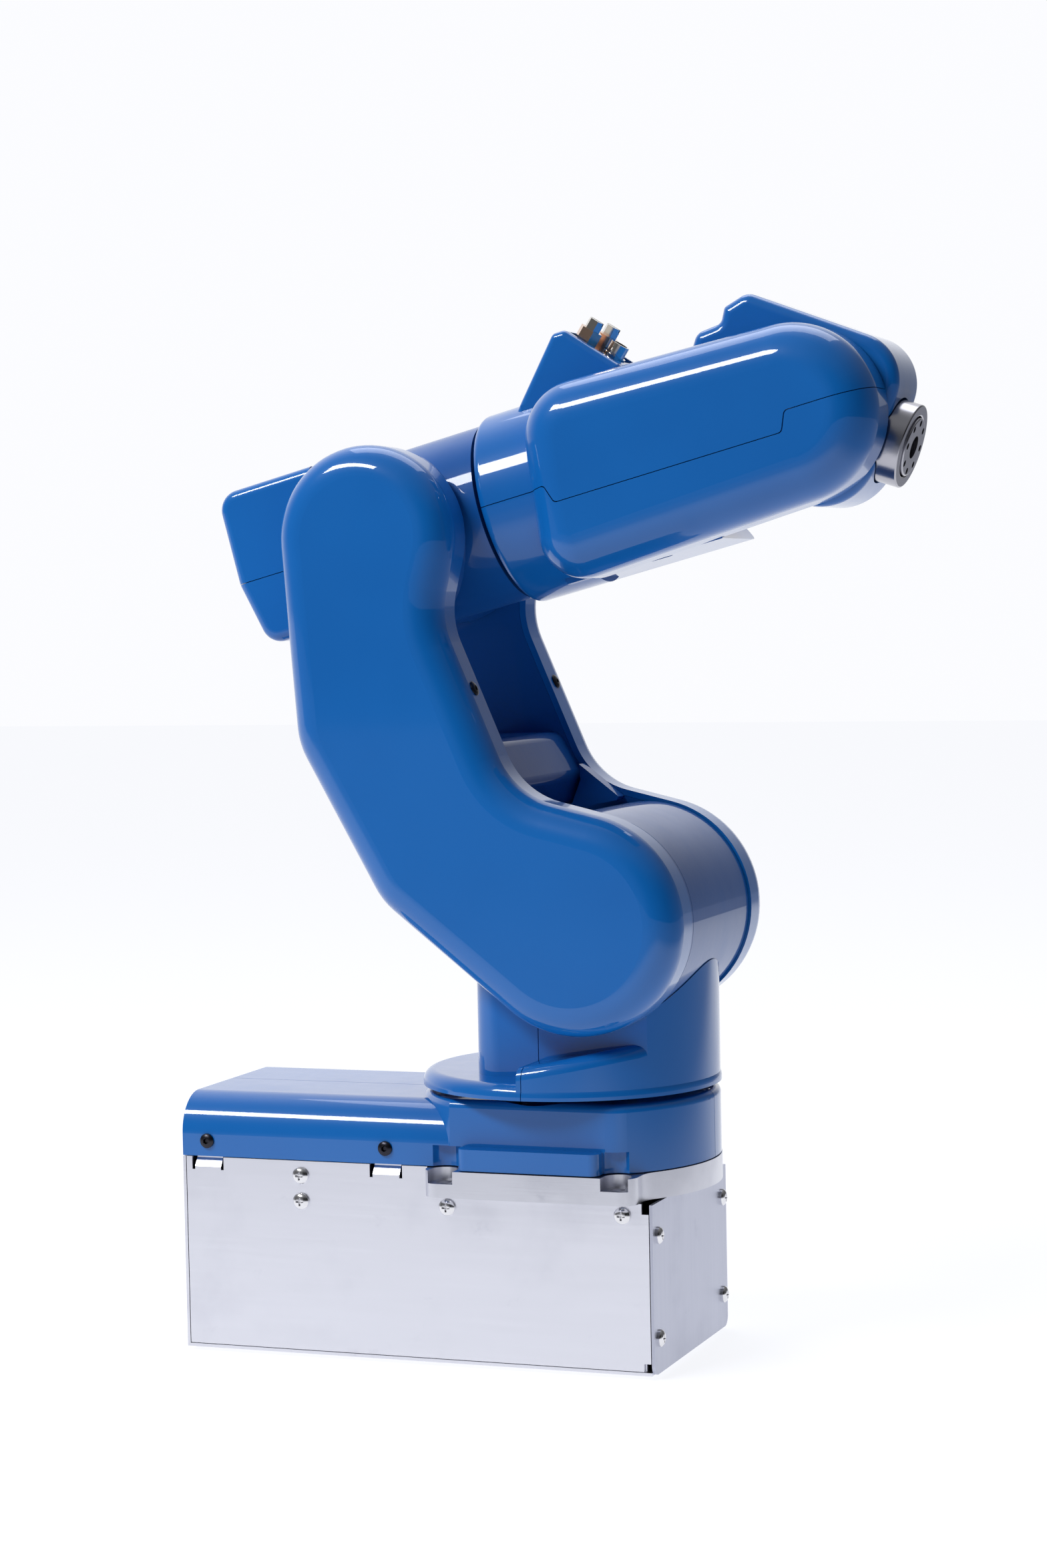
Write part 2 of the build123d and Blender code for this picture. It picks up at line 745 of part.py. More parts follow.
# Lower arm: two side plates with domed covers, joined by a bridge
def arm_outline(inset):
    """Side view of the lower arm, drawn in by inset, with x from shoulder to elbow."""
    heel = tangent_point(back_low, (0, 0), shoulder_lobe, 1)
    nape = tangent_point(back_high, (lower_link, 0), elbow_lobe, -1)
    chin = tangent_point(waist_high, (lower_link, 0), elbow_lobe, 1)
    toe = tangent_point(waist_low, (0, 0), shoulder_lobe, -1)
    with BuildSketch() as outline:
        with BuildLine():
            Polyline(
                (0, 0), heel, back_low, back_high, nape, (lower_link, 0), chin, waist_high, waist_low, toe,
                close=True,
            )
        make_face()
        bends = outline.vertices().filter_by(
            lambda v: min(
                math.hypot(v.X - c[0], v.Y - c[1]) for c in (back_low, back_high, waist_high, waist_low)
            ) < 0.01
        )
        fillet(bends, arm_bend)
        Circle(shoulder_lobe)
        with Locations((lower_link, 0)):
            Circle(elbow_lobe)
        if inset:
            offset(amount=-inset)
    return outline.sketch


# Black screws that hold the shells, seen on the front edge of both arms
arm_screw_along = (96.0,)
waist_rise = (waist_high[1] - waist_low[1]) / (waist_high[0] - waist_low[0])
waist_turn = arm_angle + math.degrees(math.atan(waist_rise))
arm_screw_planes = []
for side in (-1, 1):
    for along in arm_screw_along:
        depth = waist_low[1] + waist_rise * (along - waist_low[0])
        spot = run_from(run_from(shoulder, arm_angle, along), arm_angle + 90, depth)
        outward = math.radians(waist_turn - 90)
        arm_screw_planes.append(
            Plane(
                origin=(spot[0], side * (arm_inner + arm_plate + arm_wall), spot[1]),
                x_dir=(0, 1, 0),
                z_dir=(math.cos(outward), 0, math.sin(outward)),
            )
        )

arm_screws = screw_group(arm_screw_planes, button_radius, 1.0, 0.5)
save(arm_screws, "arm_screws")
arm_face = side_plane(shoulder, arm_angle, -arm_inner)
with BuildPart() as arm_hollow:
    with BuildSketch(arm_face):
        add(arm_outline(arm_wall))
    extrude(amount=arm_depth - arm_wall)
    fillet(arm_hollow.faces().sort_by(Axis.Y)[0].edges(), arm_round - arm_wall)
with BuildPart() as arm_shell_near:
    with BuildSketch(arm_face):
        add(arm_outline(0))
    extrude(amount=arm_depth)
    fillet(arm_shell_near.faces().sort_by(Axis.Y)[0].edges(), arm_round)
    add(arm_hollow.part, mode=Mode.SUBTRACT)
    with Locations(*arm_screw_planes[:len(arm_screw_along)]):
        Hole(screw_radius + slip_gap, depth=2 * arm_wall)
save(arm_shell_near, "arm_shell_near")
with BuildPart() as arm_shell_far:
    mirror(arm_shell_near.part, about=Plane.XZ)
save(arm_shell_far, "arm_shell_far")

# Elbow drive sizes, which the near plate takes up
u_ring_radius = 24.0
u_ring_width = 4.6
u_ring_back = 1.4
u_output_radius = 17.0
drive_bore = 6.0
u_motor_spot = (70.0, 36.0)
u_motor_size = 32.0
u_motor_length = 44.0
ring_wall = 3.0
belt_room = arm_outer - arm_wall - arm_inner - arm_plate - u_ring_width
belt_y = arm_wall + belt_room / 2 - arm_outer
belt_width = 0.55 * belt_room
u_drive_radius = 7.0
u_driven_radius = 16.0
belt_thickness = 1.4

with BuildPart() as arm_plate_near:
    with BuildSketch(arm_face):
        add(arm_outline(arm_wall + slip_gap))
        with Locations((lower_link, 0)):
            Circle(u_ring_radius - 4, mode=Mode.SUBTRACT)
        with Locations(u_motor_spot):
            Circle(u_motor_size * pilot_share + slip_gap, mode=Mode.SUBTRACT)
    extrude(amount=arm_plate)
    with BuildSketch(arm_face.offset(arm_plate)):
        with Locations((lower_link, 0)):
            Circle(u_ring_radius + 5)
            Circle(u_ring_radius + slip_gap, mode=Mode.SUBTRACT)
    extrude(amount=ring_wall)
    with BuildSketch(arm_face):
        Circle(output_radius)
    extrude(amount=-(reducer_width - reducer_back - body_gap - arm_inner + column_half))
    with BuildSketch(arm_face.offset(arm_plate)):
        Circle(cable_bore)
    extrude(amount=-arm_plate - reducer_width, mode=Mode.SUBTRACT)
save(arm_plate_near, "arm_plate_near")

# Cast rib on the inside of the far plate, in front of the bridge and clear of the barrel
gusset_corners = ((61.0, -4.0), (42.0, -12.0), (41.2, -10.5), (48.5, 12.0), (49.2, 6.0), (55.5, -1.5))
gusset_thickness = 7.0
with BuildPart() as arm_plate_far:
    with BuildSketch(side_plane(shoulder, arm_angle, arm_inner)):
        add(arm_outline(arm_wall + slip_gap))
    extrude(amount=-arm_plate)
    with BuildSketch(side_plane(shoulder, arm_angle, arm_inner)):
        Circle(stub_radius)
        with Locations((lower_link, 0)):
            Circle(stub_radius)
    extrude(amount=bearing_width)
    with BuildSketch(side_plane(shoulder, arm_angle, arm_inner + arm_plate)):
        Circle(stub_radius - 5)
        with Locations((lower_link, 0)):
            Circle(stub_radius - 5)
    extrude(amount=arm_plate + bearing_width, mode=Mode.SUBTRACT)
    with BuildSketch(side_plane(shoulder, arm_angle, arm_inner)):
        with BuildLine():
            Polyline(*gusset_corners, close=True)
        make_face()
    extrude(amount=gusset_thickness)
save(arm_plate_far, "arm_plate_far")

bridge_face = side_plane(shoulder, arm_angle, -arm_inner)
bridge_bend = 8.0
ledge_corners = ((60.0, -1.6), (78.0, -3.4), (82.0, 0.0), (82.0, 8.0), (60.0, 8.0))
ledge_thickness = 5.0


def bridge_outline(inset):
    """Side view of the bridge between the arm plates, drawn in by inset."""
    with BuildSketch() as outline:
        with BuildLine():
            Polyline(
                (bridge_low + bridge_bend, bridge_front),
                (bridge_hump, bridge_front),
                (bridge_high, bridge_front + bridge_wall * bridge_bend),
                (bridge_high, bridge_back),
                (bridge_low, bridge_back),
                (bridge_low, bridge_front + bridge_bend),
                close=True,
            )
        make_face()
        fillet(outline.vertices(), bridge_bend * 0.7)
        if inset:
            offset(amount=-inset)
    return outline.sketch


with BuildPart() as arm_bridge:
    with BuildSketch(bridge_face):
        add(bridge_outline(0))
    extrude(amount=-2 * arm_inner)
    with BuildSketch(bridge_face):
        add(bridge_outline(bridge_wall))
    extrude(amount=-2 * arm_inner + bridge_wall, mode=Mode.SUBTRACT)
    with BuildSketch(bridge_face):
        with BuildLine():
            Polyline(*ledge_corners, close=True)
        make_face()
    extrude(amount=-ledge_thickness)
save(arm_bridge, "arm_bridge")

u_motor_point = run_from(run_from(shoulder, arm_angle, u_motor_spot[0]), arm_angle + 90, u_motor_spot[1])
u_motor = servo_motor(
    side_plane(u_motor_point, arm_angle, -arm_inner), u_motor_size, u_motor_length, 3.0, abs(belt_y) - arm_inner
)
save(u_motor, "u_motor")

plate_face = arm_inner + arm_plate
u_reducer = reducer_ring(
    far_plane(elbow, -plate_face), u_ring_radius, u_ring_width, u_output_radius + slip_gap, u_ring_back, 5.0
)
save(u_reducer, "u_reducer")


def belt_pulleys(first, second, y, width, radii, bores, hub, hub_end):
    """Two toothed belt pulleys in one side plane; the second has a hub toward the far side."""
    with BuildPart() as pulleys:
        for spot, radius, bore in zip((first, second), radii, bores):
            with BuildSketch(side_plane(spot, 0, y + width / 2)):
                Circle(radius)
                if bore:
                    Circle(bore, mode=Mode.SUBTRACT)
            extrude(amount=width)
            with BuildSketch(side_plane(spot, 0, y - width / 2 + 0.6)):
                Circle(radius + 1.0)
                if bore:
                    Circle(bore, mode=Mode.SUBTRACT)
            extrude(amount=0.6)
        with BuildSketch(side_plane(second, 0, hub_end)):
            Circle(hub)
        extrude(amount=hub_end - (y + width / 2))
    return pulleys


def belt_loop(first, second, y, width, radii, thickness):
    """Closed belt around two pulleys in one side plane."""
    with BuildPart() as belt:
        for grow, mode in ((thickness, Mode.ADD), (0.05, Mode.SUBTRACT)):
            with BuildSketch(Plane.XZ.offset(-(y + width / 2))) as loop:
                with Locations(first):
                    Circle(radii[0] + grow)
                with Locations(second):
                    Circle(radii[1] + grow)
                make_hull(loop.edges())
            extrude(amount=width, mode=mode)
    return belt


u_radii = (u_drive_radius, u_driven_radius)
u_pulleys = belt_pulleys(
    u_motor_point, elbow, belt_y, belt_width + 0.6, u_radii, (3.0 + slip_gap, 0), 4.5,
    -plate_face - u_ring_width + 0.7
)
save(u_pulleys, "u_pulleys")
u_belt = belt_loop(u_motor_point, elbow, belt_y + 0.4, belt_width - 1.0, u_radii, belt_thickness)
save(u_belt, "u_belt")

# Elbow: housing between the arm plates, roll motor and its two rear covers
with BuildPart() as elbow_housing:
    with BuildSketch(side_plane(elbow, 0, elbow_half)):
        Circle(elbow_body_radius)
    extrude(amount=2 * elbow_half)
    with BuildSketch(cross_plane(elbow, fore_rise, elbow_rear)):
        Circle(neck_joint_radius)
    extrude(amount=neck_end - elbow_rear)
    with BuildSketch(side_plane(elbow, 0, elbow_half - elbow_end_wall)):
        Circle(elbow_body_radius - elbow_wall)
    extrude(amount=2 * (elbow_half - elbow_end_wall), mode=Mode.SUBTRACT)
    with BuildSketch(cross_plane(elbow, fore_rise, elbow_rear)):
        Circle(neck_joint_radius - elbow_wall)
    extrude(amount=neck_end - elbow_rear, mode=Mode.SUBTRACT)
    with BuildSketch(cross_plane(elbow, fore_rise, -elbow_body_radius)):
        Circle(r_motor_size * motor_opening_share)
    extrude(amount=elbow_body_radius, mode=Mode.SUBTRACT)
    with BuildSketch(side_plane(elbow, 0, elbow_half)):
        Circle(u_ring_radius)
    extrude(amount=elbow_end_wall, mode=Mode.SUBTRACT)
    with BuildSketch(side_plane(elbow, 0, -elbow_half)):
        Circle(u_output_radius)
    extrude(amount=plate_face + u_ring_width - u_ring_back - body_gap - elbow_half)
    with BuildSketch(side_plane(elbow, 0, 0)):
        Circle(drive_bore)
    extrude(amount=2 * elbow_half, mode=Mode.SUBTRACT)
save(elbow_housing, "elbow_housing")

with BuildPart() as u_bearing:
    with BuildSketch(side_plane(elbow, 0, elbow_half)):
        Circle(u_ring_radius)
        Circle(stub_radius + slip_gap, mode=Mode.SUBTRACT)
    extrude(amount=elbow_end_wall)
save(u_bearing, "u_bearing")

r_reducer = reducer_ring(
    cross_plane(elbow, fore_rise, neck_end), neck_joint_radius - elbow_wall - slip_gap, reducer_width,
    output_radius + slip_gap, reducer_back, r_motor_size * pilot_share + slip_gap
)
save(r_reducer, "r_reducer")
r_motor = servo_motor(
    cross_plane(elbow, fore_rise, neck_end - reducer_width), r_motor_size, r_motor_length, drive_shaft_radius,
    drive_shaft_length
)
save(r_motor, "r_motor")


def motor_cover_form(inset):
    """Box behind the elbow that covers the roll motor, drawn in by inset but for its open front."""
    front = elbow_rear - seam_gap
    with BuildPart() as form:
        with BuildSketch(side_plane(elbow, fore_rise, motor_cover_half - inset)) as outline:
            with BuildLine():
                Polyline(
                    (front, motor_cover_top - inset),
                    (motor_cover_rear + inset, motor_cover_top - inset),
                    (motor_cover_rear + inset, 0),
                    (motor_cover_rear + motor_cover_slant + inset, motor_cover_bottom + inset),
                    (front, motor_cover_bottom + inset),
                    close=True,
                )
            make_face()
            fillet(outline.vertices().filter_by(lambda v: v.X < front - 1), motor_cover_round - inset)
        extrude(amount=2 * (motor_cover_half - inset))
        sides = form.faces().filter_by(Axis.Y)
        rims = sides.edges().filter_by(lambda e: abs(form_local(e).X - front) > 0.5)
        if inset == 0:
            fillet(rims, motor_cover_edge)
    return form


def form_local(edge):
    """Middle of an edge seen along and across the forearm."""
    return side_plane(elbow, fore_rise, 0).to_local_coords(edge.center())


motor_cover_outside = motor_cover_form(0)
motor_cover_inside = motor_cover_form(cover_wall)
with BuildPart() as motor_cover_skin:
    add(motor_cover_outside.part)
    add(motor_cover_inside.part, mode=Mode.SUBTRACT)
    with BuildSketch(side_plane(elbow, 0, elbow_half)):
        Circle(elbow_body_radius + seam_gap)
    extrude(amount=2 * elbow_half, mode=Mode.SUBTRACT)
seam_plane = Plane(
    origin=(elbow[0], 0, elbow[1]),
    x_dir=(0, 1, 0),
    z_dir=(-math.sin(math.radians(fore_rise)), 0, math.cos(math.radians(fore_rise))),
)
with BuildPart() as motor_cover_upper:
    add(motor_cover_skin.part)
    split(bisect_by=seam_plane.offset(seam_gap / 2), keep=Keep.TOP)
save(motor_cover_upper, "motor_cover_upper")
with BuildPart() as motor_cover_lower:
    add(motor_cover_skin.part)
    split(bisect_by=seam_plane.offset(-seam_gap / 2), keep=Keep.BOTTOM)
save(motor_cover_lower, "motor_cover_lower")


# Forearm: frame, upper and lower cover, fitting box and the wrist drive
frame_start = root_start + body_gap


def bulge_outline(inset):
    """Side view of the deep near side of the forearm, from its root to its round tip."""
    root = fore_half_root - inset
    tip = fore_tip_radius - inset
    root_high = (fore_shell_top + inset, root)
    root_low = (fore_shell_low + inset, -root)
    high = tangent_point(root_high, (fore_link, 0), tip, -1)
    low = tangent_point(root_low, (fore_link, 0), tip, 1)
    with BuildSketch() as outline:
        with BuildLine():
            Polyline(root_high, high, (fore_link, 0), low, root_low, close=True)
        make_face()
        fillet(outline.vertices().sort_by(Axis.X)[0], fore_low_corner - inset)
        fillet(outline.vertices().sort_by(Axis.Y)[-1], fore_top_corner - inset)
        with Locations((fore_link, 0)):
            Circle(tip)
    return outline.sketch


def forearm_form(inset):
    """Outer form of the forearm covers, drawn in by inset on every face but the open ones."""
    with BuildPart() as bulge:
        with BuildSketch(side_plane(elbow, fore_rise, -fore_inner)):
            add(bulge_outline(inset))
        extrude(amount=fore_outer - fore_inner - inset)
        fillet(bulge.faces().sort_by(Axis.Y)[0].edges(), fore_round - inset)
    far_reach = math.sqrt((swing_radius + inset) ** 2 - (far_depth - inset) ** 2)
    with BuildPart() as form:
        with BuildSketch(cross_plane(elbow, fore_rise, root_start)):
            Circle(root_radius - inset)
        extrude(amount=root_end - inset - root_start)
        if inset == 0:
            fillet(form.edges().filter_by(GeomType.CIRCLE).sort_by(Axis.X)[0], cowl_round)
        with BuildSketch(cross_plane(elbow, fore_rise, root_end - far_round)) as section:
            with Locations(((far_half - fore_inner) / 2 - inset / 2, 0)):
                Rectangle(far_half + fore_inner - inset, 2 * (far_depth - inset))
            fillet(section.vertices().group_by(Axis.X)[-1], far_round - inset)
        extrude(amount=fore_link - far_reach - root_end + far_round)
        with BuildSketch(side_plane(wrist, 0, far_half)):
            Circle(swing_radius + inset)
        extrude(amount=far_half + fore_inner, mode=Mode.SUBTRACT)
        add(bulge.part)
    return form


forearm_outside = forearm_form(0)
forearm_inside = forearm_form(cover_wall)
with BuildPart() as forearm_skin:
    add(forearm_outside.part)
    add(forearm_inside.part, mode=Mode.SUBTRACT)


def below_seam(gap):
    """Everything under the seam of the forearm covers, which steps down between two jogs."""
    with BuildPart() as region:
        with BuildSketch(side_plane(elbow, fore_rise, 2 * far_half)) as outline:
            with BuildLine():
                Polyline(
                    (0, gap),
                    (seam_jog_root + gap, gap),
                    (seam_jog_root + seam_slant + gap, gap - seam_drop),
                    (seam_jog_tip - seam_slant - gap, gap - seam_drop),
                    (seam_jog_tip - gap, gap),
                    (2 * fore_link, gap),
                    (2 * fore_link, -2 * root_radius),
                    (0, -2 * root_radius),
                    close=True,
                )
            make_face()
            jogs = outline.vertices().filter_by(lambda v: v.Y > -root_radius and 1 < v.X < fore_link * 1.5)
            fillet(jogs, seam_bend)
        extrude(amount=4 * far_half)
    return region


with BuildPart() as forearm_cover_upper:
    add(forearm_skin.part)
    add(below_seam(seam_gap / 2).part, mode=Mode.SUBTRACT)
with BuildPart() as forearm_cover_lower:
    add(forearm_skin.part)
    add(below_seam(-seam_gap / 2).part, mode=Mode.INTERSECT)
    for along in under_slots:
        spot = run_from(run_from(elbow, fore_rise, along), fore_rise - 90, far_depth + 1)
        under = Plane(
            origin=(spot[0], under_slot_y, spot[1]),
            x_dir=(math.cos(math.radians(fore_rise)), 0, math.sin(math.radians(fore_rise))),
            z_dir=(math.sin(math.radians(fore_rise)), 0, -math.cos(math.radians(fore_rise))),
        )
        with BuildSketch(under):
            SlotOverall(*under_slot_size)
        extrude(amount=-2 * cover_wall, mode=Mode.SUBTRACT)
save(forearm_cover_upper, "forearm_cover_upper")
save(forearm_cover_lower, "forearm_cover_lower")

# Wrist drive sizes, which the forearm frame takes up
b_motor_along = 88.0
b_motor_size = 32.0
b_motor_length = 36.0
b_ring_radius = 19.0
b_ring_width = 6.0
b_ring_back = 1.4
b_output_radius = 13.0
b_belt_y = -36.5
b_drive_radius = 6.0
b_driven_radius = 14.0
b_shaft_radius = 2.5
b_motor_point = run_from(elbow, fore_rise, b_motor_along)
beam_near = fore_inner + beam_plate
frame_half = 20.0
frame_far = 12.0
frame_end = 107.0
frame_wall = 3.0
output_start = neck_end - reducer_width + reducer_back + body_gap

with BuildPart() as forearm_frame:
    with BuildSketch(side_plane(elbow, fore_rise, -fore_inner)):
        add(bulge_outline(cover_wall + slip_gap))
    extrude(amount=beam_plate)
    with BuildSketch(cross_plane(elbow, fore_rise, frame_start)):
        Circle(root_radius - cover_wall - slip_gap)
    extrude(amount=beam_plate)
    with BuildSketch(cross_plane(elbow, fore_rise, frame_start)):
        with Locations(((frame_far - beam_near) / 2, 0)):
            Rectangle(frame_far + beam_near, 2 * frame_half)
    extrude(amount=frame_end - frame_start)
    with BuildSketch(side_plane(elbow, fore_rise, frame_far)):
        with Locations(((frame_start + 2 * beam_plate + frame_end) / 2, 0)):
            Rectangle(frame_end - frame_start - 2 * beam_plate, 2 * (frame_half - frame_wall))
    extrude(amount=frame_far + fore_inner, mode=Mode.SUBTRACT)
    with BuildSketch(cross_plane(elbow, fore_rise, output_start)):
        Circle(output_radius)
    extrude(amount=frame_start - output_start)
    with BuildSketch(cross_plane(elbow, fore_rise, output_start)):
        Circle(cable_bore)
    extrude(amount=frame_start + 2 * beam_plate - output_start, mode=Mode.SUBTRACT)
    with BuildSketch(side_plane(elbow, fore_rise, -fore_inner)):
        with Locations((b_motor_along, 0)):
            Circle(b_motor_size * pilot_share + slip_gap)
        with Locations((fore_link, 0)):
            Circle(b_output_radius + body_gap)
    extrude(amount=beam_plate, mode=Mode.SUBTRACT)
    with BuildSketch(side_plane(elbow, fore_rise, -beam_near)):
        with Locations((fore_link, 0)):
            Circle(b_ring_radius + 4)
            Circle(b_ring_radius + slip_gap, mode=Mode.SUBTRACT)
    extrude(amount=3.0)
save(forearm_frame, "forearm_frame")

b_motor = servo_motor(
    side_plane(b_motor_point, fore_rise, -fore_inner), b_motor_size, b_motor_length, b_shaft_radius,
    -b_belt_y - fore_inner
)
save(b_motor, "b_motor")
b_radii = (b_drive_radius, b_driven_radius)
b_pulleys = belt_pulleys(
    b_motor_point, wrist, b_belt_y, 5.0, b_radii, (b_shaft_radius + slip_gap, 0), 4.0,
    -beam_near - b_ring_width + 0.7
)
save(b_pulleys, "b_pulleys")
b_belt = belt_loop(b_motor_point, wrist, b_belt_y + 0.4, 3.4, b_radii, belt_thickness)
save(b_belt, "b_belt")
b_reducer = reducer_ring(
    far_plane(wrist, -beam_near), b_ring_radius, b_ring_width, b_output_radius + slip_gap, b_ring_back, 4.6
)
save(b_reducer, "b_reducer")

# Fitting box on top of the forearm with its sloped face of air and signal fittings
slope_run = wedge_front - wedge_peak_front
slope_angle = math.degrees(math.atan2(wedge_peak - wedge_foot - 5.0, slope_run))


def wedge_form(inset):
    """Fitting box, drawn in by inset on every face but the foot."""
    with BuildPart() as form:
        with BuildSketch(side_plane(elbow, fore_rise, wedge_half - inset)) as outline:
            with BuildLine():
                Polyline(
                    (wedge_rear - 6 + 1.4 * inset, wedge_foot - 4),
                    (wedge_rear + 1.4 * inset, wedge_foot + 3),
                    (wedge_peak_rear, wedge_peak - inset),
                    (wedge_peak_front, wedge_peak - inset),
                    (wedge_front - 1.4 * inset, wedge_foot + 5),
                    (wedge_front + 4 - 1.4 * inset, wedge_foot - 4),
                    close=True,
                )
            make_face()
            fillet(outline.vertices().group_by(Axis.Y)[-1], 3.0)
        extrude(amount=2 * (wedge_half - inset))
        if inset == 0:
            peak = form.faces().filter_by(Axis.Y).edges().filter_by(lambda e: form_local(e).Y > wedge_foot)
            fillet(peak, 2.5)
    return form


peak_point = run_from(run_from(elbow, fore_rise, wedge_peak_front), fore_rise + 90, wedge_peak)
slope_world = fore_rise - slope_angle


def slope_plane(along, y, lift):
    """Plane on the sloped face: x down the slope, normal away from the box."""
    spot = run_from(run_from(peak_point, slope_world, along), slope_world + 90, lift)
    turn = math.radians(slope_world)
    return Plane(
        origin=(spot[0], y, spot[1]),
        x_dir=(math.cos(turn), 0, math.sin(turn)),
        z_dir=(-math.sin(turn), 0, math.cos(turn)),
    )


pocket_length = 21.0
pocket_half = 12.5
pocket_middle = 12.0
nut_spots = ((6.5, -6.5), (9.5, 5.5))
socket_spot = (17.5, -1.0)
wedge_outside = wedge_form(0)
wedge_inside = wedge_form(cover_wall)
with BuildPart() as fitting_box:
    add(wedge_outside.part)
    add(wedge_inside.part, mode=Mode.SUBTRACT)
    with BuildSketch(slope_plane(pocket_middle, 0, 2)):
        Rectangle(pocket_length, 2 * pocket_half)
    extrude(amount=-2 - 2 * cover_wall, mode=Mode.SUBTRACT)
    add(forearm_outside.part, mode=Mode.SUBTRACT)
save(fitting_box, "fitting_box")

plate_thickness = 1.5
with BuildPart() as fitting_plate:
    with BuildSketch(slope_plane(pocket_middle, 0, -wedge_sink)):
        Rectangle(pocket_length - 2 * slip_gap, 2 * (pocket_half - slip_gap))
        with Locations(*[(along - pocket_middle, y) for along, y in nut_spots]):
            Circle(2.5, mode=Mode.SUBTRACT)
        with Locations((socket_spot[0] - pocket_middle, socket_spot[1])):
            Circle(3.5, mode=Mode.SUBTRACT)
    extrude(amount=-plate_thickness)
save(fitting_plate, "fitting_plate")

with BuildPart() as air_nuts:
    for along, y in nut_spots:
        with BuildSketch(slope_plane(along, y, -wedge_sink)):
            RegularPolygon(nut_flats / 2, 6, major_radius=False)
            Circle(1.6, mode=Mode.SUBTRACT)
        extrude(amount=nut_height)
        with BuildSketch(slope_plane(along, y, -wedge_sink)):
            Circle(2.4)
            Circle(1.6, mode=Mode.SUBTRACT)
        extrude(amount=-plate_thickness - 1)
save(air_nuts, "air_nuts")

with BuildPart() as air_plugs:
    for along, y in nut_spots:
        with BuildSketch(slope_plane(along, y, nut_height - wedge_sink)):
            RegularPolygon(plug_flats / 2, 6, major_radius=False)
        extrude(amount=plug_height)
        with BuildSketch(slope_plane(along, y, nut_height - wedge_sink + plug_height)):
            Rectangle(plug_flats + 1, 1.0)
        extrude(amount=-1.2, mode=Mode.SUBTRACT)
        with BuildSketch(slope_plane(along, y, nut_height - wedge_sink)):
            Circle(1.5)
        extrude(amount=-nut_height + 1)
save(air_plugs, "air_plugs")

with BuildPart() as signal_socket:
    with BuildSketch(slope_plane(*socket_spot, -wedge_sink)):
        Circle(socket_radius)
    extrude(amount=2.5)
    with BuildSketch(slope_plane(*socket_spot, -wedge_sink)):
        Circle(socket_radius - 0.8)
    extrude(amount=socket_height)
    with BuildSketch(slope_plane(*socket_spot, socket_height - wedge_sink)):
        Circle(socket_radius - 1.8)
    extrude(amount=-2.0, mode=Mode.SUBTRACT)
    with BuildSketch(slope_plane(*socket_spot, -wedge_sink)):
        Circle(3.4)
    extrude(amount=-plate_thickness - 3)
save(signal_socket, "signal_socket")

# Wrist: frame with the twist motor, upper and lower cover, and the ring around the tool flange
wrist_corners = (
    (wrist_face, wrist_bottom, 22.0),
    (wrist_face, 34.0, 18.0),
    (-34.0, 37.5, 6.0),
    (-41.0, 30.0, 2.0),
    (-40.5, 24.0, 3.0),
    (-48.5, 18.0, 5.0),
    (-48.5, -12.0, 10.0),
    (-30.0, wrist_bottom, 12.0),
)
ring_opening = 16.5
frame_face = 27.6
drive_opening = 13.6


def wrist_form(inset):
    """Outer form of the wrist covers, drawn in by inset on every face."""
    with BuildPart() as form:
        with BuildSketch(side_plane(wrist, tool_angle, wrist_far - inset)) as outline:
            with BuildLine():
                Polyline(*[(p, q) for p, q, corner in wrist_corners], close=True)
            make_face()
            for p, q, corner in wrist_corners:
                spot = outline.vertices().filter_by(lambda v: math.hypot(v.X - p, v.Y - q) < 0.01)
                fillet(spot, corner)
            if inset:
                offset(amount=-inset)
        extrude(amount=wrist_near + wrist_far - 2 * inset)
        if inset == 0:
            fillet(form.faces().filter_by(Axis.Y).edges(), wrist_round)
    return form


tool_turn = math.radians(tool_angle)
screw_corners = (wrist_corners[2], wrist_corners[3])
screw_along = (screw_corners[0][0] + screw_corners[1][0]) / 2
screw_across = (screw_corners[0][1] + screw_corners[1][1]) / 2
screw_turn = tool_turn + math.pi / 2 + math.atan2(
    screw_corners[0][1] - screw_corners[1][1], screw_corners[0][0] - screw_corners[1][0]
)
screw_point = run_from(run_from(wrist, tool_angle, screw_along), tool_angle + 90, screw_across)
wrist_screw_radius = 2.2
wrist_screw_plane = Plane(
    origin=(screw_point[0], 0, screw_point[1]),
    x_dir=(0, 1, 0),
    z_dir=(math.cos(screw_turn), 0, math.sin(screw_turn)),
)
wrist_outside = wrist_form(0)
wrist_inside = wrist_form(cover_wall)
with BuildPart() as wrist_skin:
    add(wrist_outside.part)
    add(wrist_inside.part, mode=Mode.SUBTRACT)
    with BuildSketch(cross_plane(wrist, tool_angle, frame_face - seam_gap)):
        Circle(ring_opening)
    extrude(amount=wrist_face - frame_face + 1, mode=Mode.SUBTRACT)
    with BuildSketch(side_plane(wrist, 0, -wrist_near + 2 * cover_wall)):
        Circle(drive_opening)
    extrude(amount=3 * cover_wall, mode=Mode.SUBTRACT)
    with Locations(wrist_screw_plane):
        Hole(screw_radius + slip_gap, depth=screw_length)
    with BuildSketch(side_plane(wrist, tool_angle, -wrist_near)):
        with Locations(*window_spots):
            RectangleRounded(*window_size, 1.0)
    extrude(amount=-window_depth, mode=Mode.SUBTRACT)
wrist_split = Plane(
    origin=(wrist[0], 0, wrist[1]), x_dir=(0, 1, 0), z_dir=(-math.sin(tool_turn), 0, math.cos(tool_turn))
).offset(wrist_seam)
with BuildPart() as wrist_upper:
    add(wrist_skin.part)
    split(bisect_by=wrist_split.offset(seam_gap / 2), keep=Keep.TOP)
save(wrist_upper, "wrist_upper")
with BuildPart() as wrist_lower:
    add(wrist_skin.part)
    split(bisect_by=wrist_split.offset(-seam_gap / 2), keep=Keep.BOTTOM)
save(wrist_lower, "wrist_lower")

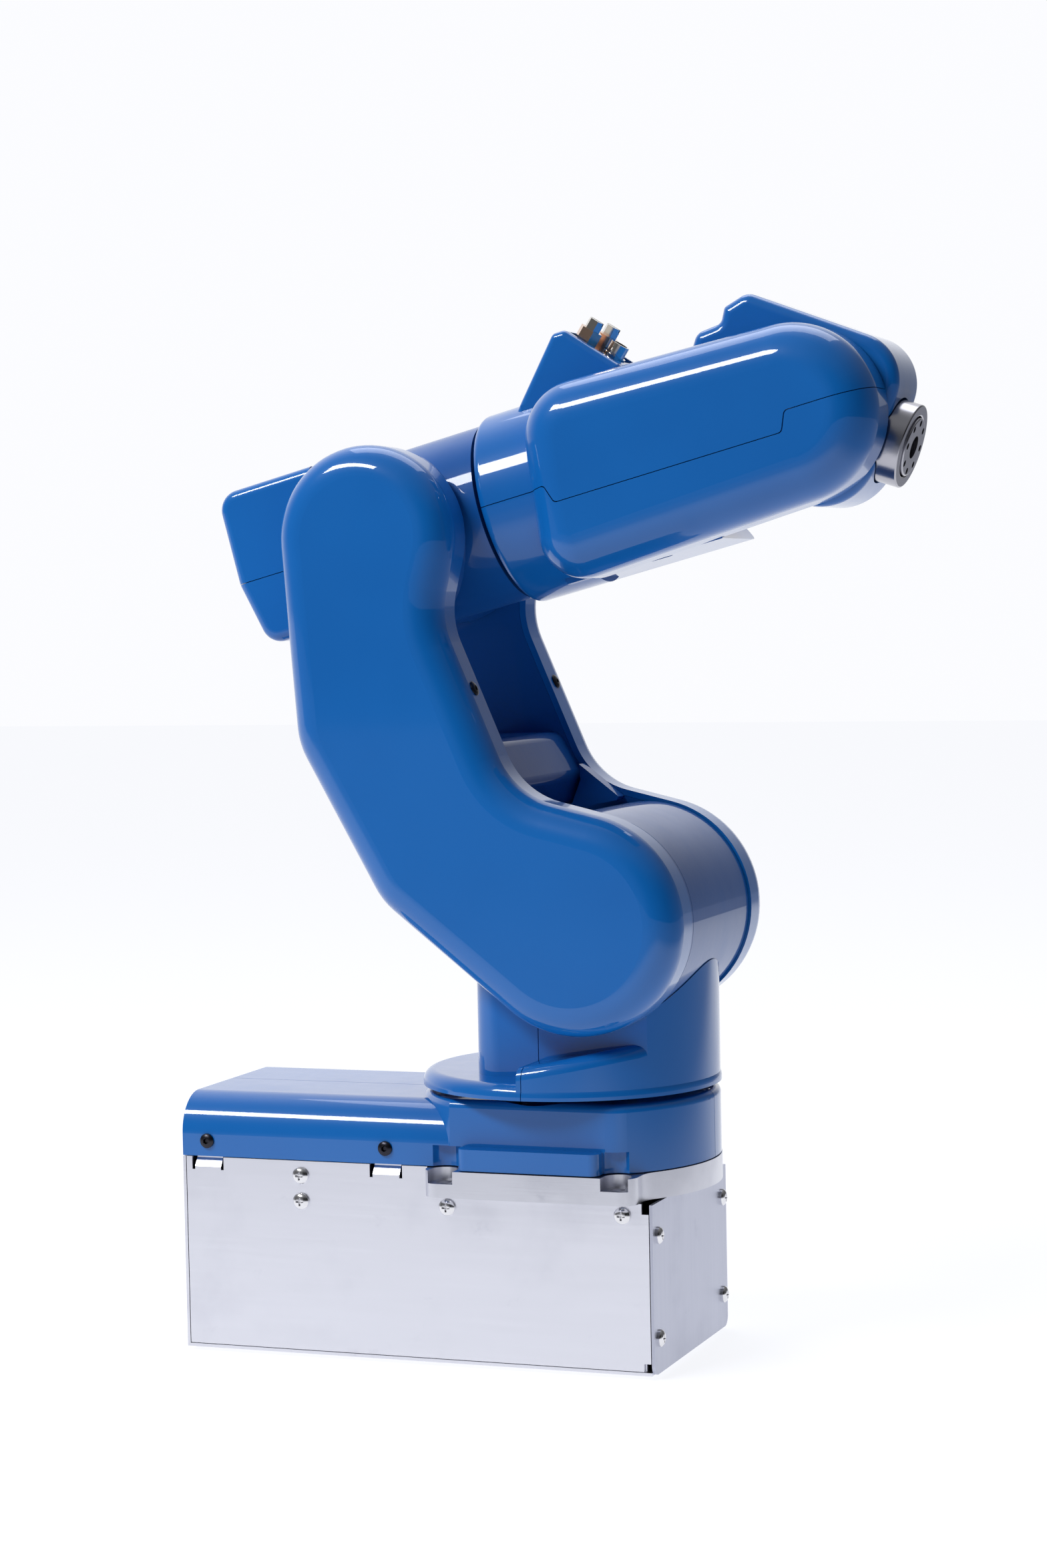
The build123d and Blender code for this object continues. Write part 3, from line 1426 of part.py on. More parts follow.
t_motor_size = 24.0
t_motor_length = 32.0
t_motor_at = -10.0
t_ring_radius = 12.5
t_ring_width = 13.0
hub_shaft_radius = 8.0
wrist_frame_half = 14.0
with BuildPart() as wrist_frame:
    with BuildSketch(cross_plane(wrist, tool_angle, t_motor_at)):
        Rectangle(2 * wrist_frame_half, 2 * wrist_frame_half + 4)
    extrude(amount=frame_face - t_motor_at)
    with BuildSketch(cross_plane(wrist, tool_angle, frame_face)):
        Circle(t_ring_radius + slip_gap)
    extrude(amount=-t_ring_width, mode=Mode.SUBTRACT)
    with BuildSketch(side_plane(wrist, 0, -wrist_frame_half)):
        Circle(b_output_radius)
    extrude(amount=beam_near + b_ring_width - b_ring_back - body_gap - wrist_frame_half)
    with BuildSketch(cross_plane(wrist, tool_angle, t_motor_at)):
        Circle(t_motor_size * pilot_share + slip_gap)
    extrude(amount=frame_face - t_motor_at - t_ring_width, mode=Mode.SUBTRACT)
    with BuildSketch(side_plane(wrist, 0, 0)):
        Circle(drive_bore - 1)
    extrude(amount=2 * beam_near, mode=Mode.SUBTRACT)
save(wrist_frame, "wrist_frame")

t_motor = servo_motor(
    cross_plane(wrist, tool_angle, t_motor_at), t_motor_size, t_motor_length, 2.0, frame_face - t_ring_width - t_motor_at
)
save(t_motor, "t_motor")
t_reducer = reducer_ring(
    cross_plane(wrist, tool_angle, frame_face), t_ring_radius, t_ring_width, hub_shaft_radius + slip_gap, 1.5, 3.0
)
save(t_reducer, "t_reducer")

ring_front = tool_reach - 0.8
with BuildPart() as tool_ring:
    with BuildSketch(cross_plane(wrist, tool_angle, frame_face)):
        Circle(tool_radius)
        Circle(hub_radius + 0.5, mode=Mode.SUBTRACT)
    extrude(amount=ring_front - frame_face)
    rims = tool_ring.edges().filter_by(GeomType.CIRCLE).group_by(Axis.X)[-1]
    fillet(rims, 0.6)
save(tool_ring, "tool_ring")

with BuildPart() as tool_hub:
    with BuildSketch(cross_plane(wrist, tool_angle, frame_face + body_gap)):
        Circle(hub_radius)
    extrude(amount=tool_reach - frame_face - body_gap)
    with BuildSketch(cross_plane(wrist, tool_angle, frame_face + body_gap)):
        Circle(hub_shaft_radius)
    extrude(amount=-(t_ring_width - 1.5))
    with BuildSketch(cross_plane(wrist, tool_angle, tool_reach)):
        Circle(tool_bore)
        with PolarLocations(tool_pitch, tool_holes):
            Circle(tool_hole_radius)
    extrude(amount=-6.0, mode=Mode.SUBTRACT)
    rims = tool_hub.edges().filter_by(GeomType.CIRCLE).filter_by(lambda e: abs(e.radius - hub_radius) < 0.01)
    fillet(rims.sort_by(Axis.X)[-1], 0.5)
save(tool_hub, "tool_hub")

wrist_screws = screw_group([wrist_screw_plane], wrist_screw_radius, 1.0, 0.4)
save(wrist_screws, "wrist_screws")
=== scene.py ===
"""Looks of a compact six axis robot arm: glossy blue covers on a bare metal base box."""

import logging
import math
from dataclasses import dataclass
from enum import Enum
from typing import Callable

import bpy
from mathutils import Matrix, Vector


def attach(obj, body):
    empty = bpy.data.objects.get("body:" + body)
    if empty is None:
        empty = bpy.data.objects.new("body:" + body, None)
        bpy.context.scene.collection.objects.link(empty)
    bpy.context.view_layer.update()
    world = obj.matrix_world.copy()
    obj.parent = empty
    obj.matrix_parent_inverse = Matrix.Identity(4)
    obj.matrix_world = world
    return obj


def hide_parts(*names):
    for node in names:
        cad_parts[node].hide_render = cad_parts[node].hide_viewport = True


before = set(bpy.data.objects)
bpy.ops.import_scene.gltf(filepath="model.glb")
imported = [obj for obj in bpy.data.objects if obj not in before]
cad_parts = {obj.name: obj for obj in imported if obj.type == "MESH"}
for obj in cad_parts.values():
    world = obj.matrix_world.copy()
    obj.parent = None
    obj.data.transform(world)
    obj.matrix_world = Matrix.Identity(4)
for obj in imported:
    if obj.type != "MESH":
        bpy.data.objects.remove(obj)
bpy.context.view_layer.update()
LOG = logging.getLogger("robot_arm")
MM = 0.001


# Shader maths and the one method that adds a node

class Value:
    """A shader socket that adds Math nodes when it is used in an expression."""

    def __init__(self, bench: "Bench", socket: bpy.types.NodeSocket) -> None:
        """Keeps the socket and the bench that its nodes stand on.

        Args:
            bench: the material's bench.
            socket: the output that this value reads.
        """
        self.bench = bench
        self.socket = socket

    def _math(self, operation: str, first: object, second: object) -> "Value":
        """Adds one Math node.

        Args:
            operation: name of the Math node's operation.
            first: a Value or a number.
            second: a Value or a number.

        Returns:
            The result as a Value.
        """
        return self.bench.node("ShaderNodeMath", {"operation": operation}, {0: first, 1: second})

    def __add__(self, other: object) -> "Value":
        """Sum of two values."""
        return self._math("ADD", self, other)

    def __radd__(self, other: object) -> "Value":
        """Sum with the number first."""
        return self._math("ADD", other, self)

    def __sub__(self, other: object) -> "Value":
        """Difference of two values."""
        return self._math("SUBTRACT", self, other)

    def __rsub__(self, other: object) -> "Value":
        """Difference with the number first."""
        return self._math("SUBTRACT", other, self)

    def __mul__(self, other: object) -> "Value":
        """Product of two values."""
        return self._math("MULTIPLY", self, other)

    def ramp(self, low: float, high: float, start: float = 0.0, end: float = 1.0) -> "Value":
        """Maps the value smoothly from one range to another.

        Args:
            low: value that gives start.
            high: value that gives end.
            start: result at low.
            end: result at high.

        Returns:
            The mapped value.
        """
        settings = {"interpolation_type": "SMOOTHSTEP"}
        return self.bench.node("ShaderNodeMapRange", settings, {0: self, 1: low, 2: high, 3: start, 4: end})


class Bench:
    """Node tree of one material or of the surroundings, with its shader at hand."""

    def __init__(self, owner: object, shader: str = "Principled BSDF", place: str = "Object") -> None:
        """Opens the tree of a material or a world.

        Args:
            owner: the material or world.
            shader: name of its shader node.
            place: coordinates that patterns read.
        """
        owner.use_nodes = True
        self.material = owner
        self.tree = owner.node_tree
        self.shader = self.tree.nodes[shader]
        self.place = self.node("ShaderNodeTexCoord", {}, {}, place)

    def node(self, kind: str, settings: dict, inputs: dict, output: int | str = 0) -> Value:
        """Adds any node.

        Args:
            kind: type name of the node.
            settings: properties to set first; a ramp's stops are given as "stops".
            inputs: values or Values by socket number or name.
            output: socket to read.

        Returns:
            The chosen output as a Value.
        """
        made = self.tree.nodes.new(kind)
        for key, value in settings.items():
            if key == "stops":
                while len(made.color_ramp.elements) < len(value):
                    made.color_ramp.elements.new(1.0)
                for stop, (at, colour) in zip(made.color_ramp.elements, value):
                    stop.position = at
                    stop.color = (*colour, 1.0)
            else:
                setattr(made, key, value)
        for key, value in inputs.items():
            if isinstance(value, Value):
                self.tree.links.new(value.socket, made.inputs[key])
            else:
                made.inputs[key].default_value = value
        return Value(self, made.outputs[output])

    def noise(self, scale: float, detail: float = 2.0, roughness: float = 0.5,
              stretch: tuple[float, float, float] = (1.0, 1.0, 1.0)) -> Value:
        """Noise over the object's own coordinates.

        Args:
            scale: lumps per metre.
            detail: number of finer layers.
            roughness: strength of the finer layers.
            stretch: factor on each axis, for grain that runs one way.

        Returns:
            The noise from 0 to 1.
        """
        place = self.node("ShaderNodeMapping", {}, {0: self.place, 3: stretch})
        return self.node("ShaderNodeTexNoise", {}, {"Vector": place, "Scale": scale, "Detail": detail,
                                                    "Roughness": roughness})

    def blend(self, factor: object, first: object, second: object) -> Value:
        """Mixes two colours.

        Args:
            factor: share of the second colour.
            first: a colour or a Value.
            second: a colour or a Value.

        Returns:
            The mixed colour.
        """
        def rgba(colour: object) -> object:
            """Adds the fourth number to a plain colour."""
            return colour if isinstance(colour, Value) else (*colour, 1.0)

        inputs = {0: factor, 6: rgba(first), 7: rgba(second)}
        return self.node("ShaderNodeMix", {"data_type": "RGBA"}, inputs, 2)

    def axis(self, number: int) -> Value:
        """Returns one coordinate of the place: 0 for x, 1 for y, 2 for z."""
        return self.node("ShaderNodeSeparateXYZ", {}, {0: self.place}, number)

    def feed(self, socket: str, value: object) -> None:
        """Sets or links one socket of the shader."""
        if isinstance(value, Value):
            self.tree.links.new(value.socket, self.shader.inputs[socket])
        else:
            self.shader.inputs[socket].default_value = value

    def bump(self, height: Value, strength: float, distance: float) -> None:
        """Feeds a height to the shader's normal.

        Args:
            height: height from 0 to 1.
            strength: share of the effect.
            distance: height of the relief in metres.
        """
        inputs = {"Strength": strength, "Distance": distance, "Height": height}
        self.feed("Normal", self.node("ShaderNodeBump", {}, inputs))


class Grain(Enum):
    """Way that the tool marks of a metal finish run."""

    NONE = (1.0, 1.0, 1.0)
    ALONG_X = (0.03, 1.0, 1.0)
    ALONG_Z = (1.0, 1.0, 0.03)


@dataclass(frozen=True)
class Paint:
    """Glossy sprayed enamel with a faint orange peel and a thin bloom of dust."""

    name: str
    colour: tuple[float, float, float]
    deep: tuple[float, float, float]
    roughness: float = 0.3
    coat: float = 1.0
    coat_roughness: float = 0.045
    coat_ior: float = 1.5
    specular: float = 0.08
    peel: float = 0.00004

    def make(self) -> bpy.types.Material:
        """Builds the material."""
        bench = Bench(bpy.data.materials.new(self.name))
        cloud = bench.noise(scale=9.0, detail=3.0, roughness=0.6)
        bench.feed("Base Color", bench.blend(cloud.ramp(0.35, 0.7), self.colour, self.deep))
        smear = bench.noise(scale=38.0, detail=4.0, roughness=0.7, stretch=(1.0, 1.0, 0.35))
        fine = bench.noise(scale=2600.0, detail=1.0, roughness=0.4)
        bench.feed("Roughness", self.roughness + smear.ramp(0.3, 0.75) * 0.07 + fine * 0.03)
        bench.feed("Coat Weight", self.coat - smear.ramp(0.55, 0.8) * 0.12)
        bench.feed("Coat Roughness", self.coat_roughness)
        bench.feed("Coat IOR", self.coat_ior)
        bench.feed("Specular IOR Level", self.specular)
        peel = bench.noise(scale=420.0, detail=2.0, roughness=0.5)
        bench.bump(peel, 0.25, self.peel)
        return bench.material


@dataclass(frozen=True)
class Metal:
    """Bare metal with tool marks, faint stains and handling smears."""

    name: str
    colour: tuple[float, float, float]
    stain: tuple[float, float, float]
    roughness: float
    grain: Grain = Grain.NONE
    grain_scale: float = 900.0
    grain_depth: float = 0.00002
    metallic: float = 1.0

    def make(self) -> bpy.types.Material:
        """Builds the material."""
        bench = Bench(bpy.data.materials.new(self.name))
        marks = bench.noise(self.grain_scale, detail=3.0, roughness=0.65, stretch=self.grain.value)
        cloud = bench.noise(scale=14.0, detail=5.0, roughness=0.6)
        spot = bench.noise(scale=70.0, detail=4.0, roughness=0.7)
        stain = cloud.ramp(0.48, 0.72) * 0.6 + spot.ramp(0.62, 0.8) * 0.5
        bench.feed("Base Color", bench.blend(stain, self.colour, self.stain))
        bench.feed("Metallic", self.metallic)
        bench.feed("Roughness", self.roughness + marks * 0.12 + stain * 0.08 - 0.06)
        bench.bump(marks, 0.5, self.grain_depth)
        return bench.material


@dataclass(frozen=True)
class Moulding:
    """Moulded plastic or rubber with a fine spark eroded texture."""

    name: str
    colour: tuple[float, float, float]
    roughness: float = 0.5
    texture: float = 0.00004

    def make(self) -> bpy.types.Material:
        """Builds the material."""
        bench = Bench(bpy.data.materials.new(self.name))
        cloud = bench.noise(scale=30.0, detail=3.0, roughness=0.6)
        lighter = tuple(min(1.0, c * 1.5 + 0.004) for c in self.colour)
        bench.feed("Base Color", bench.blend(cloud * 0.5, self.colour, lighter))
        bench.feed("Roughness", self.roughness + cloud * 0.1)
        bench.bump(bench.noise(scale=1800.0, detail=2.0, roughness=0.6), 0.4, self.texture)
        return bench.material


BLUE = Paint("blue_enamel", colour=(0.005, 0.135, 0.47), deep=(0.004, 0.122, 0.435))
# Darker copy of the blue enamel for the castings: its darker colour is painted shade for their shaded sides,
# and its rougher coat and deeper peel are the castings' own finish.
BLUE_CASTING_PAINTED_SHADE = Paint("blue_enamel_on_casting_painted_shade", colour=(0.007, 0.095, 0.36), deep=(0.006, 0.08, 0.31),
                     roughness=0.36, coat=0.7, peel=0.00007)
SHEET = Metal("plated_sheet", colour=(0.78, 0.79, 0.86), stain=(0.68, 0.69, 0.77),
              roughness=0.34, grain=Grain.ALONG_X, grain_scale=700.0)
# Darker copy of the plated sheet for the front plate: its darker colour is painted shade for a face turned
# away from the lights, and its upright grain is the sheet's own.
FRONT_SHEET_PAINTED_SHADE = Metal("plated_sheet_front_painted_shade", colour=(0.5, 0.52, 0.62), stain=(0.42, 0.44, 0.54),
                    roughness=0.36, grain=Grain.ALONG_Z, grain_scale=700.0)
MACHINED = Metal("machined_aluminium", colour=(0.66, 0.67, 0.73), stain=(0.52, 0.53, 0.6),
                 roughness=0.3, grain=Grain.ALONG_X, grain_scale=1500.0, grain_depth=0.00003)
TURNED = Metal("turned_steel", colour=(0.42, 0.42, 0.46), stain=(0.34, 0.33, 0.37),
               roughness=0.2, grain=Grain.ALONG_X, grain_scale=1800.0, grain_depth=0.00001)
BRIGHT = Metal("bright_steel", colour=(0.78, 0.78, 0.8), stain=(0.62, 0.62, 0.65),
               roughness=0.18, grain=Grain.NONE, grain_scale=1600.0)
BLACKED = Metal("blacked_steel", colour=(0.035, 0.035, 0.045), stain=(0.05, 0.05, 0.055),
                roughness=0.3, grain=Grain.NONE, grain_scale=1500.0)
BRASS = Metal("rose_brass", colour=(0.78, 0.55, 0.42), stain=(0.62, 0.42, 0.32),
              roughness=0.16, grain=Grain.NONE, grain_scale=1400.0)
STEEL = Metal("ground_steel", colour=(0.56, 0.56, 0.58), stain=(0.44, 0.44, 0.47),
              roughness=0.26, grain=Grain.NONE, grain_scale=1300.0)
MOTOR = Moulding("motor_enamel", colour=(0.012, 0.012, 0.014), roughness=0.38)
RUBBER = Moulding("belt_rubber", colour=(0.010, 0.010, 0.011), roughness=0.7, texture=0.0001)
NYLON = Moulding("black_nylon", colour=(0.014, 0.014, 0.016), roughness=0.42)
NICKEL = Metal("nickel_plate", colour=(0.72, 0.69, 0.64), stain=(0.58, 0.54, 0.5),
               roughness=0.14, grain=Grain.NONE, grain_scale=1500.0)

Finish = Paint | Metal | Moulding
NODE_FINISHES: dict[str, Finish] = {
    name: finish
    for names, finish in (
        ("base_cover_near base_cover_far turret_front_cover turret_rear_cover arm_shell_near arm_shell_far "
         "motor_cover_upper motor_cover_lower forearm_cover_upper forearm_cover_lower fitting_box "
         "wrist_upper wrist_lower", BLUE),
        ("turret_frame elbow_housing arm_bridge arm_plate_near arm_plate_far", BLUE_CASTING_PAINTED_SHADE),
        ("side_panel_near side_panel_far rear_plate bottom_tray", SHEET),
        ("front_plate", FRONT_SHEET_PAINTED_SHADE),
        ("base_flange", MACHINED),
        ("barrel_cap", BLUE_CASTING_PAINTED_SHADE),
        ("tool_ring tool_hub", TURNED),
        ("fitting_plate", STEEL),
        ("forearm_frame wrist_frame", BLUE_CASTING_PAINTED_SHADE),
        ("s_motor l_motor u_motor r_motor b_motor t_motor", MOTOR),
        ("s_reducer l_reducer u_reducer r_reducer b_reducer t_reducer l_bearing u_bearing", STEEL),
        ("u_pulleys b_pulleys", MACHINED),
        ("u_belt b_belt", RUBBER),
        ("box_screws foot_screws", BRIGHT),
        ("cover_screws arm_screws wrist_screws", BLACKED),
        ("air_nuts air_inlets", BRASS),
        ("air_plugs", NICKEL),
        ("power_connector signal_inlet", NYLON),
        ("signal_socket", NICKEL),
    )
    for name in names.split()
}


class Wardrobe:
    """Makes each finish once and puts it on pieces and nodes."""

    def __init__(self) -> None:
        """Starts with no material made."""
        self.made: dict[str, bpy.types.Material] = {}

    def get(self, finish: Finish) -> bpy.types.Material:
        """Returns the finish's material, made on its first use."""
        if finish.name not in self.made:
            self.made[finish.name] = finish.make()
        return self.made[finish.name]

    def dress(self, piece: bpy.types.Object, finish: Finish) -> None:
        """Puts one finish on the whole of a piece.

        Args:
            piece: the object to dress.
            finish: its finish.
        """
        piece.data.materials.clear()
        piece.data.materials.append(self.get(finish))


@dataclass(frozen=True)
class Softbox:
    """One area light: its place and aim in metres, width and height, watts and colour."""

    name: str
    place: tuple[float, float, float]
    aim: tuple[float, float, float]
    size: tuple[float, float]
    power: float
    colour: tuple[float, float, float] = (1.0, 1.0, 1.0)

    def hang(self) -> None:
        """Adds the light to the scene."""
        data = bpy.data.lights.new(self.name, "AREA")
        data.shape = "RECTANGLE"
        data.size, data.size_y = self.size
        data.energy = self.power
        data.color = self.colour
        lamp = bpy.data.objects.new(self.name, data)
        bpy.context.scene.collection.objects.link(lamp)
        look = (Vector(self.aim) - Vector(self.place)).to_track_quat("-Z", "Y")
        lamp.matrix_world = Matrix.Translation(self.place) @ look.to_matrix().to_4x4()


KEY = Softbox("key_softbox", (-0.75, -1.0, 1.25), (-0.02, 0.0, 0.2), (0.9, 0.28), 20.0)
TOP = Softbox("top_softbox", (-0.1, 0.5, 1.4), (0.0, 0.0, 0.2), (1.2, 0.7), 6.0, (0.93, 0.95, 1.0))


@dataclass
class Studio:
    """Pale floor, soft lights and the camera of the photograph.

    Azimuth and elevation are in degrees, the roll in radians and sizes in metres.
    """

    azimuth: float = 20.584
    elevation: float = 3.212
    distance: float = 1.274056
    focal_px: float = 4945.989
    picture_height: int = 2349
    sensor_height: float = 36.0
    target: tuple[float, float, float] = (-0.017905, 0.0, 0.152277)
    roll: float = 0.020
    floor_height: float = -0.0661
    floor_size: float = 12.0
    floor_glow: float = 0.92
    white: tuple[float, float, float] = (0.93, 0.94, 0.97)
    far_grey: tuple[float, float, float] = (0.2, 0.21, 0.25)
    front_glow: float = 0.12
    right_glow: float = 0.12
    top_glow: float = 0.2

    def camera(self) -> None:
        """Stands the camera where the photograph was taken."""
        turn, rise = math.radians(self.azimuth), math.radians(self.elevation)
        back = Vector((math.sin(turn) * math.cos(rise), -math.cos(turn) * math.cos(rise), math.sin(rise)))
        right = Vector((math.cos(turn), math.sin(turn), 0.0))
        up = back.cross(right)
        cosine, sine = math.cos(self.roll), math.sin(self.roll)
        across, upward = right * cosine - up * sine, right * sine + up * cosine
        place = Vector(self.target) + back * self.distance
        data = bpy.data.cameras.new("camera")
        data.sensor_fit = "VERTICAL"
        data.sensor_height = self.sensor_height
        data.lens = self.focal_px * self.sensor_height / self.picture_height
        data.clip_start = 0.01
        eye = bpy.data.objects.new("camera", data)
        bpy.context.scene.collection.objects.link(eye)
        turned = Matrix((across, upward, back)).transposed().to_4x4()
        eye.matrix_world = Matrix.Translation(place) @ turned
        bpy.context.scene.camera = eye

    def lights(self) -> None:
        """Adds the softboxes and the surroundings, bright behind the arm and dark at the camera's side."""
        for softbox in (KEY, TOP):
            softbox.hang()
        world = bpy.data.worlds.new("surroundings")
        bench = Bench(world, "Background", "Generated")
        behind = bench.axis(1).ramp(-0.3, 0.6, self.front_glow, 1.0)
        left = bench.axis(0).ramp(-0.12, 0.4, 1.0, self.right_glow)
        glow = behind * left + bench.axis(2).ramp(0.3, 0.9, 0.0, self.top_glow)
        bench.feed("Color", (0.97, 0.975, 1.0, 1.0))
        bench.feed("Strength", glow)
        bpy.context.scene.world = world
        bpy.context.scene.view_settings.view_transform = "Standard"

    def floor(self) -> None:
        """Lays the pale floor, white around the arm and grey where it would light the dark sides."""
        bpy.ops.object.select_all(action="DESELECT")
        bpy.ops.mesh.primitive_plane_add(size=self.floor_size, location=(0.0, 0.0, self.floor_height))
        ground = bpy.context.object
        ground.name = "floor"
        bpy.ops.object.transform_apply(location=True, rotation=True, scale=True)
        bench = Bench(bpy.data.materials.new("pale_floor"))
        grain = bench.noise(scale=60.0, detail=3.0, roughness=0.6)
        far = 1 - bench.axis(0).ramp(0.36, 0.75, 1.0, 0.0) * bench.axis(1).ramp(-1.0, -0.45)
        bench.feed("Base Color", bench.blend(grain * 0.2, (0.2, 0.2, 0.21), (0.18, 0.18, 0.19)))
        bench.feed("Emission Color", bench.blend(far, self.white, self.far_grey))
        bench.feed("Emission Strength", self.floor_glow)
        bench.feed("Roughness", 0.8 + grain * 0.1)
        bench.feed("Specular IOR Level", 0.0)
        ground.data.materials.append(bench.material)


class Recess(Enum):
    """Drive of a screw head, given as the sides of its recess."""

    CROSS = 2
    HEX = 6


@dataclass(frozen=True)
class Seat:
    """Place of one screw: the middle of its seat and the way out of it, in metres."""

    place: tuple[float, float, float]
    outward: tuple[float, float, float]


# Shares of the head: its straight rim, then how far each step of the dome goes inward and up
RIM_SHARE = 0.45
CROWN_STEPS = ((0.1, 0.2), (0.16, 0.16), (0.2, 0.12), (0.2, 0.07))
RECESS_FLOOR, RECESS_TOP, RECESS_TAPER = 0.35, 1.2, 0.6
CROSS_LENGTH, CROSS_WIDTH, HEX_RADIUS = 1.1, 0.26, 0.46
FLAT_NORMAL = 0.9
SMOOTH_ANGLE = math.radians(28.0)


@dataclass
class ScrewSet:
    """Screws of one size: a domed head with a recess, a washer face and a shank."""

    name: str
    body: str
    node: str
    seats: list[Seat]
    radius: float
    height: float
    recess: Recess
    finish: Finish
    shank_radius: float = 1.35 * MM
    shank_length: float = 3.9 * MM

    def head(self) -> bpy.types.Object:
        """Models one screw at the origin with its head along +Z.

        Returns:
            The finished screw.
        """
        bpy.ops.object.select_all(action="DESELECT")
        rim = self.height * RIM_SHARE
        bpy.ops.mesh.primitive_cylinder_add(vertices=40, radius=self.radius, depth=rim,
                                            location=(0.0, 0.0, rim / 2))
        screw = bpy.context.object
        bpy.ops.object.transform_apply(location=True, rotation=True, scale=True)
        self.pick(screw, lambda centre, normal: normal.z > FLAT_NORMAL)
        bpy.ops.object.mode_set(mode="EDIT")
        for inward, rise in CROWN_STEPS:
            lift = (0.0, 0.0, self.height * rise)
            bpy.ops.mesh.extrude_region_move(TRANSFORM_OT_translate={"value": lift})
            shrink = 1.0 - inward
            bpy.ops.transform.resize(value=(shrink, shrink, 1.0), center_override=(0.0, 0.0, 0.0))
        bpy.ops.object.mode_set(mode="OBJECT")
        self.pick(screw, lambda centre, normal: normal.z < -FLAT_NORMAL)
        bpy.ops.object.mode_set(mode="EDIT")
        bpy.ops.mesh.inset(thickness=self.radius - self.shank_radius)
        shank = (0.0, 0.0, -self.shank_length)
        bpy.ops.mesh.extrude_region_move(TRANSFORM_OT_translate={"value": shank})
        bpy.ops.object.mode_set(mode="OBJECT")
        for cutter in self.cutters():
            cut = screw.modifiers.new("recess", "BOOLEAN")
            cut.operation = "DIFFERENCE"
            cut.object = cutter
            bpy.context.view_layer.objects.active = screw
            bpy.ops.object.modifier_apply(modifier=cut.name)
            bpy.data.objects.remove(cutter)
        return screw

    def pick(self, piece: bpy.types.Object, wanted: Callable[[Vector, Vector], bool]) -> None:
        """Selects a piece's faces by their middle and normal, in face mode.

        Args:
            piece: the object whose faces are chosen.
            wanted: test of a face's middle and normal.
        """
        bpy.context.view_layer.objects.active = piece
        bpy.ops.object.mode_set(mode="EDIT")
        bpy.ops.mesh.select_mode(type="FACE")
        bpy.ops.mesh.select_all(action="DESELECT")
        bpy.ops.object.mode_set(mode="OBJECT")
        for face in piece.data.polygons:
            face.select = wanted(face.center, face.normal)

    def cutters(self) -> list[bpy.types.Object]:
        """Makes the tools that cut the recess into the head.

        Returns:
            One tapered bar for each arm of a cross, or one hexagon.
        """
        deep, top = self.height * RECESS_FLOOR, self.height * RECESS_TOP
        middle = (0.0, 0.0, (deep + top) / 2)
        tools = []
        turns = (0.0, math.pi / 2) if self.recess is Recess.CROSS else (0.0,)
        for turn in turns:
            bpy.ops.object.select_all(action="DESELECT")
            if self.recess is Recess.CROSS:
                size = (self.radius * CROSS_LENGTH, self.radius * CROSS_WIDTH, top - deep)
                bpy.ops.mesh.primitive_cube_add(size=1.0, location=middle, rotation=(0, 0, turn), scale=size)
            else:
                bpy.ops.mesh.primitive_cylinder_add(vertices=6, radius=self.radius * HEX_RADIUS,
                                                    depth=top - deep, location=middle)
            tool = bpy.context.object
            bpy.ops.object.transform_apply(location=True, rotation=True, scale=True)
            self.pick(tool, lambda centre, normal: normal.z < -FLAT_NORMAL)
            bpy.ops.object.mode_set(mode="EDIT")
            bpy.ops.transform.resize(value=(RECESS_TAPER, RECESS_TAPER, 1.0), center_override=(0.0, 0.0, 0.0))
            bpy.ops.object.mode_set(mode="OBJECT")
            tools.append(tool)
        return tools

    def build(self, wardrobe: Wardrobe) -> bpy.types.Object:
        """Copies the screw to each seat and joins the copies into one piece.

        Args:
            wardrobe: gives the finish.

        Returns:
            The finished piece, which replaces its CAD node.
        """
        pattern = self.head()
        copies = []
        for seat in self.seats:
            copy = bpy.data.objects.new(self.name, pattern.data.copy())
            bpy.context.scene.collection.objects.link(copy)
            turn = Vector(seat.outward).to_track_quat("Z", "Y").to_matrix().to_4x4()
            copy.data.transform(Matrix.Translation(seat.place) @ turn)
            copies.append(copy)
        bpy.data.objects.remove(pattern)
        bpy.ops.object.select_all(action="DESELECT")
        for copy in copies:
            copy.select_set(True)
        bpy.context.view_layer.objects.active = copies[0]
        bpy.ops.object.join()
        piece = bpy.context.object
        piece.name = self.name
        bpy.ops.object.shade_smooth_by_angle(angle=SMOOTH_ANGLE)
        wardrobe.dress(piece, self.finish)
        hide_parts(self.node)
        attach(piece, self.body)
        LOG.info("built %s with %d screws", self.name, len(copies))
        return piece


Spots = tuple[tuple[float, float], ...]


